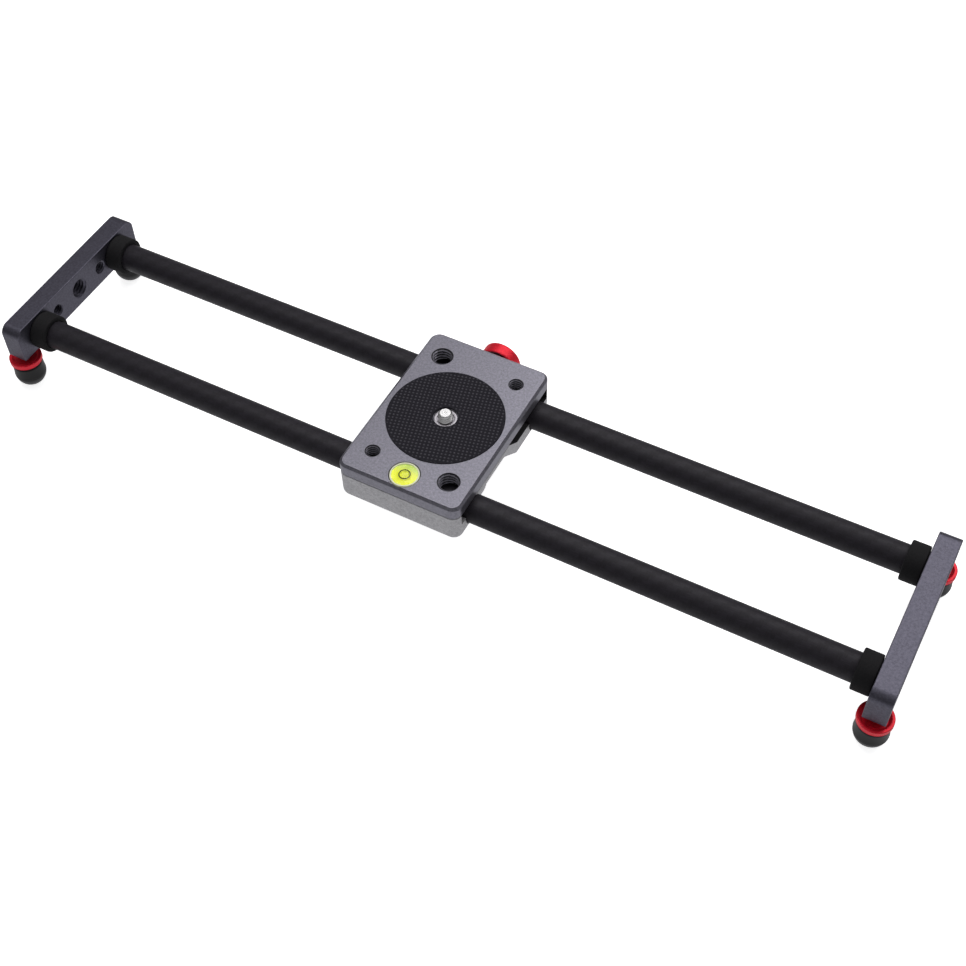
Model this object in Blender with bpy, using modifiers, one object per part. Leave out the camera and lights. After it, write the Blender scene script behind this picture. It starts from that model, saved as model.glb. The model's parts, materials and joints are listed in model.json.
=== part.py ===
"""Camera slider with two carbon tube rails, a roller carriage and four levelling feet.

Metres, +Z up, +X along the rails, +Y towards the lock knob.  Heights are given above the rails'
common axis plane, and lateral places from the middle plane between the rails; one empty at the
rail axis carries everything, so that the origin ends up at foot level in the middle of the part.
"""
import math

import bmesh
import bpy
from mathutils import Matrix

# ---- Driving dimensions -------------------------------------------------------------------------
LENGTH = 0.400                 # over the two end plates
GAP = 0.0003                   # between pieces that touch on the real object

RAIL_RADIUS = 0.00605
RAIL_BORE = 0.00505
RAIL_SPACING = 0.0544          # axis to axis
RAIL_Y = RAIL_SPACING / 2

PLATE_THICK = 0.0092           # end plates
PLATE_WIDE = 0.0824
PLATE_TALL = 0.0167
PLATE_LIFT = 0.00055           # middle of the end plate above the rail axis
PLATE_ROUND = 0.0042           # the two top corners
PLATE_EDGE = 0.00035           # the small bevel along all its other edges
PLATE_INNER_X = LENGTH / 2 - PLATE_THICK
SOCKET_DEPTH = 0.0058          # blind bore that takes the rail's end
RAIL_TIP_X = PLATE_INNER_X + SOCKET_DEPTH - GAP
PLUG_LONG = 0.0130             # threaded plug inside each rail's end
THREAD_3_8 = 0.0047            # hole radii at the mouth of the tripod threads
THREAD_1_4 = 0.0032
END_THREAD_Y = 0.0152          # the small threads beside the large one

BUMPER_RADIUS = 0.0083
BUMPER_LONG = 0.0078

BOLT_RADIUS = 0.0019           # M4 screws and bolts, at the thread
CSK_RADIUS = 0.0038            # countersunk head of a rail screw
CSK_DEEP = 0.0020
SOCKET_RADIUS = 0.0012         # its hexagon socket, taken as round
SOCKET_SUNK = 0.0014
RAIL_SCREW_LONG = 0.0122

FOOT_Y = 0.0370
FOOT_X = LENGTH / 2 - PLATE_THICK / 2
STUD_RADIUS = 0.0020
WHEEL_RADIUS = 0.0071
WHEEL_TOP = -0.0100
WHEEL_TALL = 0.0023
WHEEL_DISH = 0.0009
STUD_TOP = 0.0035
STUD_LOW = -0.0195
STUD_HOLE_TOP = 0.0078
FOOT_RADIUS = 0.0069
FOOT_SOLE = 0.0025             # radius of the flat under the round foot
FOOT_BELLY = -0.0189           # height of the foot's widest ring
FOOT_BOTTOM = -0.0255          # the surface that the slider stands on

CARRIAGE_X = -0.0030           # where the carriage rests along the rails
CARRIAGE_LONG = 0.0548
CARRIAGE_WIDE = 0.0810
CORNER_ROUND = 0.0042
DECK_TOP = 0.0125
DECK_THICK = 0.0060
DECK_BEVEL = 0.0011
DECK_BOTTOM = DECK_TOP - DECK_THICK
DECK_THREAD_X = 0.0173
DECK_THREAD_Y = 0.0286
BOLT_THREAD_COVER = 0.0022     # metal left above the bolts' blind threads
HOUSING_TOP = DECK_BOTTOM - GAP / 2
HOUSING_BOTTOM = -0.0074
HOUSING_ROUND = 0.0030
CHANNEL_RADIUS = RAIL_RADIUS + 0.00045
WEB_BOTTOM = 0.0038
POCKET_FLOOR = 0.0010
POCKET_INNER = 0.0100
POCKET_OUTER = 0.0370
END_WEB_X = 0.0239             # beyond this, the front side is only a web between wall and middle
END_NOTCH_Y = (-0.0290, -0.0024)

PAD_RADIUS = 0.0243
PAD_HOLE = 0.0051
PAD_TOP = DECK_TOP + 0.0005
PAD_RECESS = 0.0006

SCREW_RADIUS = 0.0030          # camera screw
SCREW_TOP = DECK_TOP + 0.0027
SCREW_CHAMFER = 0.0007
SCREW_HEAD_RADIUS = 0.0056
SCREW_SLOT = (0.0140, 0.0014, 0.0020)
GROOVE_RADIUS = 0.0024         # groove in the camera screw, for the ring that keeps it in the deck
GROOVE_TOP = DECK_TOP - 0.0008
GROOVE_LOW = DECK_TOP - 0.0020
RETAINER_RADIUS = 0.0048
RETAINER_TOP = DECK_TOP - 0.0005

LEVEL_RADIUS = 0.0061
LEVEL_Y = -0.0332
LEVEL_DEEP = 0.0042
LEVEL_WALL = 0.0007
LENS_LOW = DECK_TOP - 0.0005
LENS_TOP = DECK_TOP + 0.0002

ROLLER_RADIUS = 0.0055         # ball bearings, 4 x 11 x 4 mm
ROLLER_TALL = 0.0040
ROLLER_BORE = 0.0023
ROLLER_X = 0.0180
ROLLER_LOW = POCKET_FLOOR + 0.0006
BOLT_HEAD_RADIUS = 0.0035
BOLT_HEAD_TALL = 0.0022
BOLT_SEAT_DEEP = 0.0028

KNOB_RADIUS = 0.0086
KNOB_NEAR = 0.0444             # the knob's two faces, from the middle plane
KNOB_FAR = 0.0496
BRAKE_RADIUS = 0.0026
BRAKE_CLEAR = 0.0007           # from the shoe to the rail when the lock is off
BRAKE_FAR = 0.0366
LOCK_SCREW_RADIUS = 0.0022
LOCK_BUSH_INNER = 0.0375       # the bush's two ends, its body and its flange
LOCK_BUSH_OUTER = CARRIAGE_WIDE / 2 + 0.0024
LOCK_BUSH_RADIUS = 0.0037
LOCK_FLANGE_RADIUS = 0.0054
KNOB_CAP = 0.0009              # thickness of the knob's closed outer end

# The knob stands out on one side, so the middle plane lies this far from the part's centre.
MIDDLE_Y = -(KNOB_FAR - FOOT_Y - WHEEL_RADIUS) / 2

TURNS = 20                     # steps of a turned piece
FINE_TURNS = 32
SMALL_TURNS = 12
SIDES = ((-1, "left"), (1, "right"))
RAILS = ((-1, "front"), (1, "back"))


# ---- Scene and helpers --------------------------------------------------------------------------
for old in list(bpy.data.objects):
    bpy.data.objects.remove(old, do_unlink=True)


def new_collection(name):
    collection = bpy.data.collections.new(name)
    bpy.context.scene.collection.children.link(collection)
    return collection


PARTS = new_collection("camera_slider")
CUTTERS = new_collection("cutters")


def new_material(name, colour, roughness, metallic=0.0):
    material = bpy.data.materials.new(name)
    material.use_nodes = True
    shader = material.node_tree.nodes["Principled BSDF"]
    shader.inputs["Base Color"].default_value = (*colour, 1.0)
    shader.inputs["Roughness"].default_value = roughness
    shader.inputs["Metallic"].default_value = metallic
    return material


CARBON = new_material("carbon_fibre", (0.022, 0.021, 0.023), 0.42)
SLATE = new_material("slate_anodised", (0.085, 0.085, 0.105), 0.42, 0.8)
SILVER = new_material("grey_anodised", (0.33, 0.32, 0.37), 0.40, 0.8)
RED = new_material("red_anodised", (0.62, 0.010, 0.022), 0.32, 0.4)
RUBBER = new_material("black_rubber", (0.014, 0.014, 0.015), 0.75)
STEEL = new_material("bright_steel", (0.72, 0.71, 0.70), 0.22, 1.0)
DARK_STEEL = new_material("black_steel", (0.03, 0.03, 0.032), 0.38, 1.0)
ALLOY = new_material("bare_aluminium", (0.60, 0.60, 0.61), 0.35, 1.0)
PLASTIC = new_material("white_acetal", (0.75, 0.75, 0.72), 0.45)
CLEAR = new_material("clear_acrylic", (0.88, 0.92, 0.82), 0.08)
LIQUID = new_material("level_liquid", (0.62, 0.78, 0.03), 0.10)


def new_empty(name, location, parent=None):
    empty = bpy.data.objects.new(name, None)
    PARTS.objects.link(empty)
    empty.location = location
    empty.empty_display_size = 0.01
    empty.parent = parent
    return empty


def new_object(name, mesh, material=None, parent=None):
    """A modelled piece in the parts collection, or a cutter when it has no material."""
    obj = bpy.data.objects.new(name, mesh)
    if material is None:
        CUTTERS.objects.link(obj)
        obj.hide_render = True
        obj.display_type = "WIRE"
    else:
        PARTS.objects.link(obj)
        mesh.materials.append(material)
    obj.parent = parent
    return obj


def smooth(mesh, degrees=35):
    mesh.shade_smooth()
    mesh.set_sharp_from_angle(angle=math.radians(degrees))


def turned(name, profile, material=None, parent=None, location=(0, 0, 0), along="Z", turns=TURNS):
    """A turned piece: profile is (radius, height) down the outer side, then up the bore if it has one."""
    mesh = bpy.data.meshes.new(name)
    count = len(profile)
    edges = [(i, i + 1) for i in range(count - 1)]
    if profile[0][0] > 0:
        edges.append((count - 1, 0))
    mesh.from_pydata([(radius, 0, height) for radius, height in profile], edges, [])
    obj = new_object(name, mesh, material, parent)
    screw = obj.modifiers.new("turn", "SCREW")
    screw.steps = turns
    screw.render_steps = turns
    screw.use_merge_vertices = True
    screw.merge_threshold = 0.00001
    screw.use_smooth_shade = True
    screw.use_normal_calculate = False
    obj.location = location
    if along == "X":
        obj.rotation_euler = (0, math.pi / 2, 0)
    if along == "Y":
        obj.rotation_euler = (-math.pi / 2, 0, 0)
    return obj


def rod(radius, low, high):
    """Profile of a solid round bar."""
    return [(0, high), (radius, high), (radius, low), (0, low)]


def ring(outer, inner, low, high):
    """Profile of a ring or tube."""
    return [(outer, high), (outer, low), (inner, low), (inner, high)]


def bore(name, radius, low, high, parent, location=(0, 0, 0), along="Z", turns=TURNS, mouth=None):
    """A cutter: a round bar between two heights along its axis, or a cone when mouth gives its high end."""
    shape = bmesh.new()
    bmesh.ops.create_cone(shape, cap_ends=True, segments=turns, radius1=radius,
                          radius2=radius if mouth is None else mouth, depth=high - low)
    bmesh.ops.translate(shape, vec=(0, 0, (high + low) / 2), verts=shape.verts)
    mesh = bpy.data.meshes.new(name)
    shape.to_mesh(mesh)
    shape.free()
    cutter = new_object(name, mesh, None, parent)
    cutter.location = location
    if along == "X":
        cutter.rotation_euler = (0, math.pi / 2, 0)
    if along == "Y":
        cutter.rotation_euler = (-math.pi / 2, 0, 0)
    return cutter


def block_mesh(name, size, centre, rounds):
    """A box whose edges are bevelled in turn: rounds lists (edge test, width, segments)."""
    shape = bmesh.new()
    bmesh.ops.create_cube(shape, size=1.0)
    bmesh.ops.scale(shape, vec=size, verts=shape.verts)
    for test, width, segments in rounds:
        edges = [edge for edge in shape.edges if test(edge, size)]
        bmesh.ops.bevel(shape, geom=edges, offset=width, offset_type="OFFSET", segments=segments,
                        profile=0.5, affect="EDGES", clamp_overlap=True)
    bmesh.ops.translate(shape, vec=centre, verts=shape.verts)
    mesh = bpy.data.meshes.new(name)
    shape.to_mesh(mesh)
    shape.free()
    return mesh


def edge_direction(edge):
    return (edge.verts[1].co - edge.verts[0].co).normalized()


def upright(edge, size):
    return abs(edge_direction(edge).z) > 0.9


def top_along_x(edge, size):
    return abs(edge_direction(edge).x) > 0.9 and min(v.co.z for v in edge.verts) > size[2] * 0.49


def top_rim(edge, size):
    return min(v.co.z for v in edge.verts) > size[2] * 0.499


def bottom_rim(edge, size):
    return max(v.co.z for v in edge.verts) < -size[2] * 0.499


def cut(obj, cutters, operation="DIFFERENCE"):
    for cutter in cutters:
        modifier = obj.modifiers.new("cut", "BOOLEAN")
        modifier.operation = operation
        modifier.solver = "EXACT"
        modifier.object = cutter


def soften(obj, width):
    """A small bevel on every square edge, before anything is cut."""
    modifier = obj.modifiers.new("soften", "BEVEL")
    modifier.width = width
    modifier.segments = 1
    modifier.limit_method = "ANGLE"
    modifier.angle_limit = math.radians(50)


def arc_points(corner, before, after, radius, steps):
    """Points of the round of that radius at a corner between its two neighbours, in a plane."""
    ax, ay = before[0] - corner[0], before[1] - corner[1]
    bx, by = after[0] - corner[0], after[1] - corner[1]
    la, lb = math.hypot(ax, ay), math.hypot(bx, by)
    ax, ay, bx, by = ax / la, ay / la, bx / lb, by / lb
    half = math.acos(max(-1.0, min(1.0, ax * bx + ay * by))) / 2
    reach = radius / math.tan(half)
    mx, my = ax + bx, ay + by
    lm = math.hypot(mx, my)
    centre = (corner[0] + mx / lm * radius / math.sin(half), corner[1] + my / lm * radius / math.sin(half))
    start = math.atan2(corner[1] + ay * reach - centre[1], corner[0] + ax * reach - centre[0])
    end = math.atan2(corner[1] + by * reach - centre[1], corner[0] + bx * reach - centre[0])
    sweep = (end - start + math.pi) % (2 * math.pi) - math.pi
    return [(centre[0] + radius * math.cos(start + sweep * i / steps),
             centre[1] + radius * math.sin(start + sweep * i / steps)) for i in range(steps + 1)]


def rounded_outline(corners, steps=3):
    """A closed outline from (y, z, radius) corners, with each round as an arc."""
    outline = []
    count = len(corners)
    for i, (y, z, radius) in enumerate(corners):
        if radius == 0:
            outline.append((y, z))
            continue
        outline += arc_points((y, z), corners[i - 1][:2], corners[(i + 1) % count][:2], radius, steps)
    return outline


def extruded_outline(name, outline, half_length, material=None, parent=None):
    """A flat outline in the YZ plane, extruded along X both ways, as a mesh."""
    curve = bpy.data.curves.new(name + "_outline", "CURVE")
    curve.dimensions = "2D"
    curve.fill_mode = "BOTH"
    curve.extrude = half_length
    spline = curve.splines.new("POLY")
    spline.points.add(len(outline) - 1)
    for point, (y, z) in zip(spline.points, outline):
        point.co = (y, z, 0, 1)
    spline.use_cyclic_u = True
    drawn = bpy.data.objects.new(name + "_outline", curve)
    PARTS.objects.link(drawn)
    bpy.context.view_layer.update()
    evaluated = drawn.evaluated_get(bpy.context.evaluated_depsgraph_get())
    mesh = bpy.data.meshes.new_from_object(evaluated)
    mesh.name = name
    bpy.data.objects.remove(drawn, do_unlink=True)
    shape = bmesh.new()
    shape.from_mesh(mesh)
    bmesh.ops.remove_doubles(shape, verts=shape.verts, dist=0.00001)
    axes = Matrix(((0, 0, 1, 0), (1, 0, 0, 0), (0, 1, 0, 0), (0, 0, 0, 1)))
    bmesh.ops.transform(shape, matrix=axes, verts=shape.verts)
    bmesh.ops.recalc_face_normals(shape, faces=shape.faces)
    shape.to_mesh(mesh)
    shape.free()
    return new_object(name, mesh, material, parent)


# ---- Fixed frame: end plates, rails, bumpers ----------------------------------------------------
def make_end_plate(side, name, frame):
    """A bar with two round top corners, two blind rail sockets and three tripod threads."""
    size = (PLATE_THICK, PLATE_WIDE, PLATE_TALL)
    mesh = block_mesh("end_plate_" + name, size, (0, 0, 0), [(top_along_x, PLATE_ROUND, 4)])
    plate = new_object("end_plate_" + name, mesh, SLATE, frame)
    plate.location = (side * (LENGTH / 2 - PLATE_THICK / 2), 0, PLATE_LIFT)
    soften(plate, PLATE_EDGE)
    outer = side * LENGTH / 2
    inner = side * PLATE_INNER_X
    beyond = side * 0.002
    cutters = []
    for y, radius in ((0, THREAD_3_8), (END_THREAD_Y, THREAD_1_4), (-END_THREAD_Y, THREAD_1_4)):
        low, high = sorted((inner - beyond, outer + beyond))
        place = (0, y, PLATE_LIFT)
        cutters.append(bore("plate_thread", radius, low, high, frame, place, "X"))
    for way, rail in RAILS:
        place = (0, way * RAIL_Y, 0)
        low, high = sorted((inner - beyond, inner + side * SOCKET_DEPTH))
        cutters.append(bore("rail_socket", RAIL_RADIUS + GAP, low, high, frame, place, "X"))
        low, high = sorted((outer - side * 0.006, outer + beyond))
        cutters.append(bore("screw_hole", BOLT_RADIUS + GAP, low, high, frame, place, "X", SMALL_TURNS))
        low, high = sorted((outer - side * (CSK_DEEP + 0.0004), outer + side * 0.0005))
        first, last = (BOLT_RADIUS + 0.0006, CSK_RADIUS + 0.0007)[::side]
        cutters.append(bore("screw_seat", first, low, high, frame, place, "X", SMALL_TURNS, last))
        low = PLATE_LIFT - PLATE_TALL / 2 - 0.002
        place = (side * FOOT_X, way * FOOT_Y, 0)
        cutters.append(bore("stud_hole", STUD_RADIUS + GAP, low, STUD_HOLE_TOP, frame, place,
                            turns=SMALL_TURNS))
    cut(plate, cutters)


def make_rail(way, name, frame):
    tube = ring(RAIL_RADIUS, RAIL_BORE, -RAIL_TIP_X, RAIL_TIP_X)
    place = (0, way * RAIL_Y, 0)
    turned("rail_" + name, tube, CARBON, frame, place, "X", FINE_TURNS)


def make_rail_end(side, end, way, rail, frame):
    """The rubber bumper round a rail's end, the plug inside it and the screw that holds it."""
    place = (0, way * RAIL_Y, 0)
    name = f"{rail}_{end}"
    low, high = sorted((side * (PLATE_INNER_X - GAP), side * (PLATE_INNER_X - BUMPER_LONG)))
    bumper = ring(BUMPER_RADIUS, RAIL_RADIUS + GAP, low, high)
    turned("bumper_" + name, bumper, RUBBER, frame, place, "X")
    low, high = sorted((side * RAIL_TIP_X, side * (RAIL_TIP_X - PLUG_LONG)))
    plug = ring(RAIL_BORE - GAP, BOLT_RADIUS + GAP, low, high)
    turned("rail_plug_" + name, plug, ALLOY, frame, place, "X", SMALL_TURNS)
    face = -0.0002
    profile = [(0, face - SOCKET_SUNK), (SOCKET_RADIUS, face - SOCKET_SUNK), (SOCKET_RADIUS, face),
               (CSK_RADIUS, face), (BOLT_RADIUS, face - CSK_DEEP), (BOLT_RADIUS, -RAIL_SCREW_LONG),
               (0, -RAIL_SCREW_LONG)]
    place = (side * LENGTH / 2, way * RAIL_Y, 0)
    screw = turned("rail_screw_" + name, profile, DARK_STEEL, frame, place, "X", SMALL_TURNS)
    screw.rotation_euler = (0, side * math.pi / 2, 0)


# ---- Levelling feet -----------------------------------------------------------------------------
def make_foot(side, end, way, rail, frame):
    """A threaded stud with a red thumb wheel, on a round rubber foot."""
    name = f"{rail}_{end}"
    axis = new_empty("foot_axis_" + name, (side * FOOT_X, way * FOOT_Y, 0), frame)
    wheel_low = WHEEL_TOP - WHEEL_TALL
    bore = STUD_RADIUS + GAP
    edge = 0.0004
    wheel = [(WHEEL_RADIUS - edge, WHEEL_TOP), (WHEEL_RADIUS, WHEEL_TOP - edge),
             (WHEEL_RADIUS, wheel_low), (bore, wheel_low), (bore, WHEEL_TOP - WHEEL_DISH),
             (WHEEL_RADIUS - 0.0020, WHEEL_TOP - WHEEL_DISH)]
    turned("foot_wheel_" + name, wheel, RED, axis)
    turned("foot_stud_" + name, rod(STUD_RADIUS, STUD_LOW, STUD_TOP), STEEL, axis, turns=SMALL_TURNS)
    top = wheel_low - GAP
    steps = 5
    last = math.acos(FOOT_SOLE / FOOT_RADIUS)
    drop = (FOOT_BELLY - FOOT_BOTTOM) / math.sin(last)
    rounding = [(FOOT_RADIUS * math.cos(last * i / steps), FOOT_BELLY - drop * math.sin(last * i / steps))
                for i in range(steps + 1)]
    shoulder = [(FOOT_RADIUS - 0.0009, top), (FOOT_RADIUS - 0.0002, top - 0.0022)]
    floor = STUD_LOW - 0.0005
    well = [(0, FOOT_BOTTOM), (0, floor), (bore, floor), (bore, top)]
    turned("foot_rubber_" + name, closed_from(shoulder + rounding + well), RUBBER, axis)


def closed_from(points):
    """Orders a profile that has one stretch on the axis so that it starts and ends there."""
    on_axis = [i for i, (radius, height) in enumerate(points) if radius == 0]
    start = on_axis[-1]
    return points[start:] + points[:start]


# ---- Carriage -----------------------------------------------------------------------------------
def make_deck(carriage):
    """The top plate, with tripod threads, the recess for the pad and the pocket for the level."""
    size = (CARRIAGE_LONG, CARRIAGE_WIDE, DECK_THICK)
    rounds = [(upright, CORNER_ROUND, 5), (top_rim, DECK_BEVEL, 1)]
    middle = DECK_TOP - DECK_THICK / 2
    mesh = block_mesh("carriage_deck", size, (0, 0, middle), rounds)
    deck = new_object("carriage_deck", mesh, SILVER, carriage)
    below = DECK_BOTTOM - 0.002
    above = DECK_TOP + 0.002
    cutters = []
    for x in (-DECK_THREAD_X, DECK_THREAD_X):
        for y in (-DECK_THREAD_Y, DECK_THREAD_Y):
            radius = THREAD_1_4 if x * y > 0 else THREAD_3_8
            cutters.append(bore("deck_thread", radius, below, above, carriage, (x, y, 0)))
    cutters.append(bore("pad_recess", PAD_RADIUS + GAP, DECK_TOP - PAD_RECESS, above, carriage, turns=40))
    cutters.append(bore("ring_recess", RETAINER_RADIUS + GAP, GROOVE_LOW, above, carriage))
    cutters.append(bore("screw_bore", SCREW_RADIUS + 0.0004, below, above, carriage))
    cutters.append(bore("level_pocket", LEVEL_RADIUS + GAP, DECK_TOP - LEVEL_DEEP - GAP, above, carriage,
                        (0, LEVEL_Y, 0)))
    for x in (-ROLLER_X, ROLLER_X):
        for way, rail in RAILS:
            place = (x, way * roller_y(), 0)
            cutters.append(bore("bolt_thread", BOLT_RADIUS + GAP, below, DECK_TOP - BOLT_THREAD_COVER,
                                carriage, place, turns=SMALL_TURNS))
    cut(deck, cutters)


def roller_y():
    """A roller's lower rim just clears the rail, on the rail's inner side."""
    reach = math.sqrt(RAIL_RADIUS ** 2 - ROLLER_LOW ** 2)
    return RAIL_Y - reach - GAP - ROLLER_RADIUS


def housing_half():
    """Corners of one side of the housing's section, from the web's top round to the outer wall."""
    channel = math.sqrt(CHANNEL_RADIUS ** 2 - POCKET_FLOOR ** 2)
    start = math.atan2(POCKET_FLOOR, channel)
    steps = 10
    trough = [(RAIL_Y + CHANNEL_RADIUS * math.cos(angle), CHANNEL_RADIUS * math.sin(angle), 0)
              for angle in (start - (math.pi + 2 * start) * i / steps for i in range(steps + 1))]
    inner = [(0.0031, HOUSING_TOP, 0), (POCKET_INNER, POCKET_FLOOR, 0)] + trough[::-1]
    outer = [(POCKET_OUTER, POCKET_FLOOR, 0), (POCKET_OUTER, HOUSING_TOP, 0),
             (CARRIAGE_WIDE / 2, HOUSING_TOP, 0), (CARRIAGE_WIDE / 2, HOUSING_BOTTOM, 0)]
    return inner + outer


def end_web(carriage):
    """The solid web at each end of the front side, from the rail's channel to the middle."""
    steps = 6
    low = WEB_BOTTOM - 0.0008
    first = math.asin(HOUSING_TOP / CHANNEL_RADIUS)
    last = math.asin(low / CHANNEL_RADIUS)
    angles = [first + (last - first) * i / steps for i in range(steps + 1)]
    side = END_NOTCH_Y[1] - 0.0002
    outline = [(-RAIL_Y + CHANNEL_RADIUS * math.cos(a), CHANNEL_RADIUS * math.sin(a)) for a in angles]
    outline += [(side, low), (side, HOUSING_TOP)]
    web = extruded_outline("end_web", outline, CARRIAGE_LONG / 2 + 0.001, None, carriage)
    middle = block_mesh("end_web_gap", (2 * END_WEB_X, CARRIAGE_WIDE, 0.04), (0, 0, 0), [])
    cut(web, [new_object("end_web_gap", middle, None, carriage)])
    return web


def make_housing(carriage):
    """The lower housing: a thin web between two pods, each with a channel for a rail."""
    half = housing_half()
    far = [(-y, z, radius) for y, z, radius in half[::-1]]
    low = [(0.0124, HOUSING_BOTTOM, 0.0035), (-0.0013, WEB_BOTTOM, 0.0025),
           (-0.0038, WEB_BOTTOM, 0.0025), (-0.0116, HOUSING_BOTTOM, 0.0035)]
    outline = rounded_outline(half + low + far)
    housing = extruded_outline("carriage_housing", outline, CARRIAGE_LONG / 2 + 0.001, SILVER, carriage)
    cut(housing, [end_web(carriage)], "UNION")
    tall = HOUSING_TOP - HOUSING_BOTTOM
    spare = 0.004
    size = (CARRIAGE_LONG, CARRIAGE_WIDE, tall + spare)
    rounds = [(upright, CORNER_ROUND, 5), (bottom_rim, HOUSING_ROUND, 3)]
    mesh = block_mesh("housing_envelope", size, (0, 0, HOUSING_BOTTOM + (tall + spare) / 2), rounds)
    cut(housing, [new_object("housing_envelope", mesh, None, carriage)], "INTERSECT")
    above = HOUSING_TOP + 0.001
    cutters = [bore("screw_head_hole", SCREW_HEAD_RADIUS + 0.0005, HOUSING_BOTTOM, above, carriage)]
    for x in (-ROLLER_X, ROLLER_X):
        for way, rail in RAILS:
            place = (x, way * roller_y(), 0)
            below = HOUSING_BOTTOM - 0.001
            cutters.append(bore("bolt_hole", BOLT_RADIUS + GAP, below, POCKET_FLOOR + 0.002, carriage,
                                place, turns=SMALL_TURNS))
            cutters.append(bore("bolt_seat", BOLT_HEAD_RADIUS + 0.0004, below,
                                HOUSING_BOTTOM + BOLT_SEAT_DEEP, carriage, place, turns=SMALL_TURNS))
    near, far = END_NOTCH_Y
    long = CARRIAGE_LONG / 2 + 0.002 - END_WEB_X
    deep = WEB_BOTTOM - HOUSING_BOTTOM + 0.001
    for side, _ in SIDES:
        centre = (side * (END_WEB_X + long / 2), (near + far) / 2, WEB_BOTTOM - deep / 2)
        notch = block_mesh("end_notch", (long, far - near, deep), centre, [])
        cutters.append(new_object("end_notch", notch, None, carriage))
    wall = CARRIAGE_WIDE / 2 + 0.002
    cutters.append(bore("brake_bore", BRAKE_RADIUS + GAP, RAIL_Y, wall, carriage, along="Y",
                        turns=SMALL_TURNS))
    cutters.append(bore("lock_bore", LOCK_BUSH_RADIUS + GAP, LOCK_BUSH_INNER - GAP, wall, carriage,
                        along="Y"))
    cut(housing, cutters)


def make_rollers(carriage):
    """Four ball-bearing rollers on bolts that also hold the housing to the deck."""
    for side, end in SIDES:
        for way, rail in RAILS:
            name = f"{rail}_{end}"
            axis = new_empty("roller_axis_" + name, (side * ROLLER_X, way * roller_y(), 0), carriage)
            roller = ring(ROLLER_RADIUS, ROLLER_BORE, ROLLER_LOW, ROLLER_LOW + ROLLER_TALL)
            turned("roller_" + name, roller, STEEL, axis)
            tip = DECK_TOP - BOLT_THREAD_COVER - 0.0006
            bottom = HOUSING_BOTTOM + GAP
            head = bottom + BOLT_HEAD_TALL
            profile = [(0, tip), (BOLT_RADIUS, tip), (BOLT_RADIUS, head), (BOLT_HEAD_RADIUS, head),
                       (BOLT_HEAD_RADIUS, bottom), (0, bottom)]
            turned("roller_bolt_" + name, profile, DARK_STEEL, axis, turns=SMALL_TURNS)


def make_camera_seat(carriage):
    """The rubber pad, the camera screw and the bright ring that keeps the screw in the deck."""
    low = DECK_TOP - PAD_RECESS + GAP
    turned("anti_slip_pad", ring(PAD_RADIUS, PAD_HOLE, low, PAD_TOP), RUBBER, carriage, turns=40)
    low = GROOVE_LOW + GAP
    lip = GROOVE_RADIUS + GAP
    lip_top = low + 0.0005
    mouth = SCREW_RADIUS + 0.0005
    retainer = [(RETAINER_RADIUS, RETAINER_TOP), (RETAINER_RADIUS, low), (lip, low), (lip, lip_top),
                (mouth, lip_top), (mouth, RETAINER_TOP)]
    turned("screw_retainer", retainer, STEEL, carriage)
    head_top = DECK_BOTTOM - GAP
    bottom = WEB_BOTTOM + 0.0002
    profile = [(0, SCREW_TOP), (SCREW_RADIUS - SCREW_CHAMFER, SCREW_TOP),
               (SCREW_RADIUS, SCREW_TOP - SCREW_CHAMFER), (SCREW_RADIUS, GROOVE_TOP),
               (GROOVE_RADIUS, GROOVE_TOP), (GROOVE_RADIUS, GROOVE_LOW), (SCREW_RADIUS, GROOVE_LOW),
               (SCREW_RADIUS, head_top), (SCREW_HEAD_RADIUS, head_top), (SCREW_HEAD_RADIUS, bottom),
               (0, bottom)]
    screw = turned("camera_screw", profile, STEEL, carriage)
    slot = block_mesh("screw_slot", SCREW_SLOT, (0, 0, WEB_BOTTOM), [])
    cut(screw, [new_object("screw_slot", slot, None, carriage)])


def make_level(carriage):
    """The round bubble level, set in its pocket at the deck's front edge."""
    bottom = DECK_TOP - LEVEL_DEEP
    place = (0, LEVEL_Y, 0)
    rim = LEVEL_RADIUS - LEVEL_WALL
    floor = bottom + LEVEL_WALL
    top = LENS_LOW - GAP
    cup = [(LEVEL_RADIUS, top), (LEVEL_RADIUS, bottom), (0, bottom), (0, floor), (rim, floor), (rim, top)]
    turned("level_cup", closed_from(cup), CLEAR, carriage, place)
    turned("level_liquid", rod(rim - GAP, floor + GAP, top - GAP), LIQUID, carriage, place)
    turned("level_lens", rod(LEVEL_RADIUS, LENS_LOW, LENS_TOP), CLEAR, carriage, place)


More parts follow.
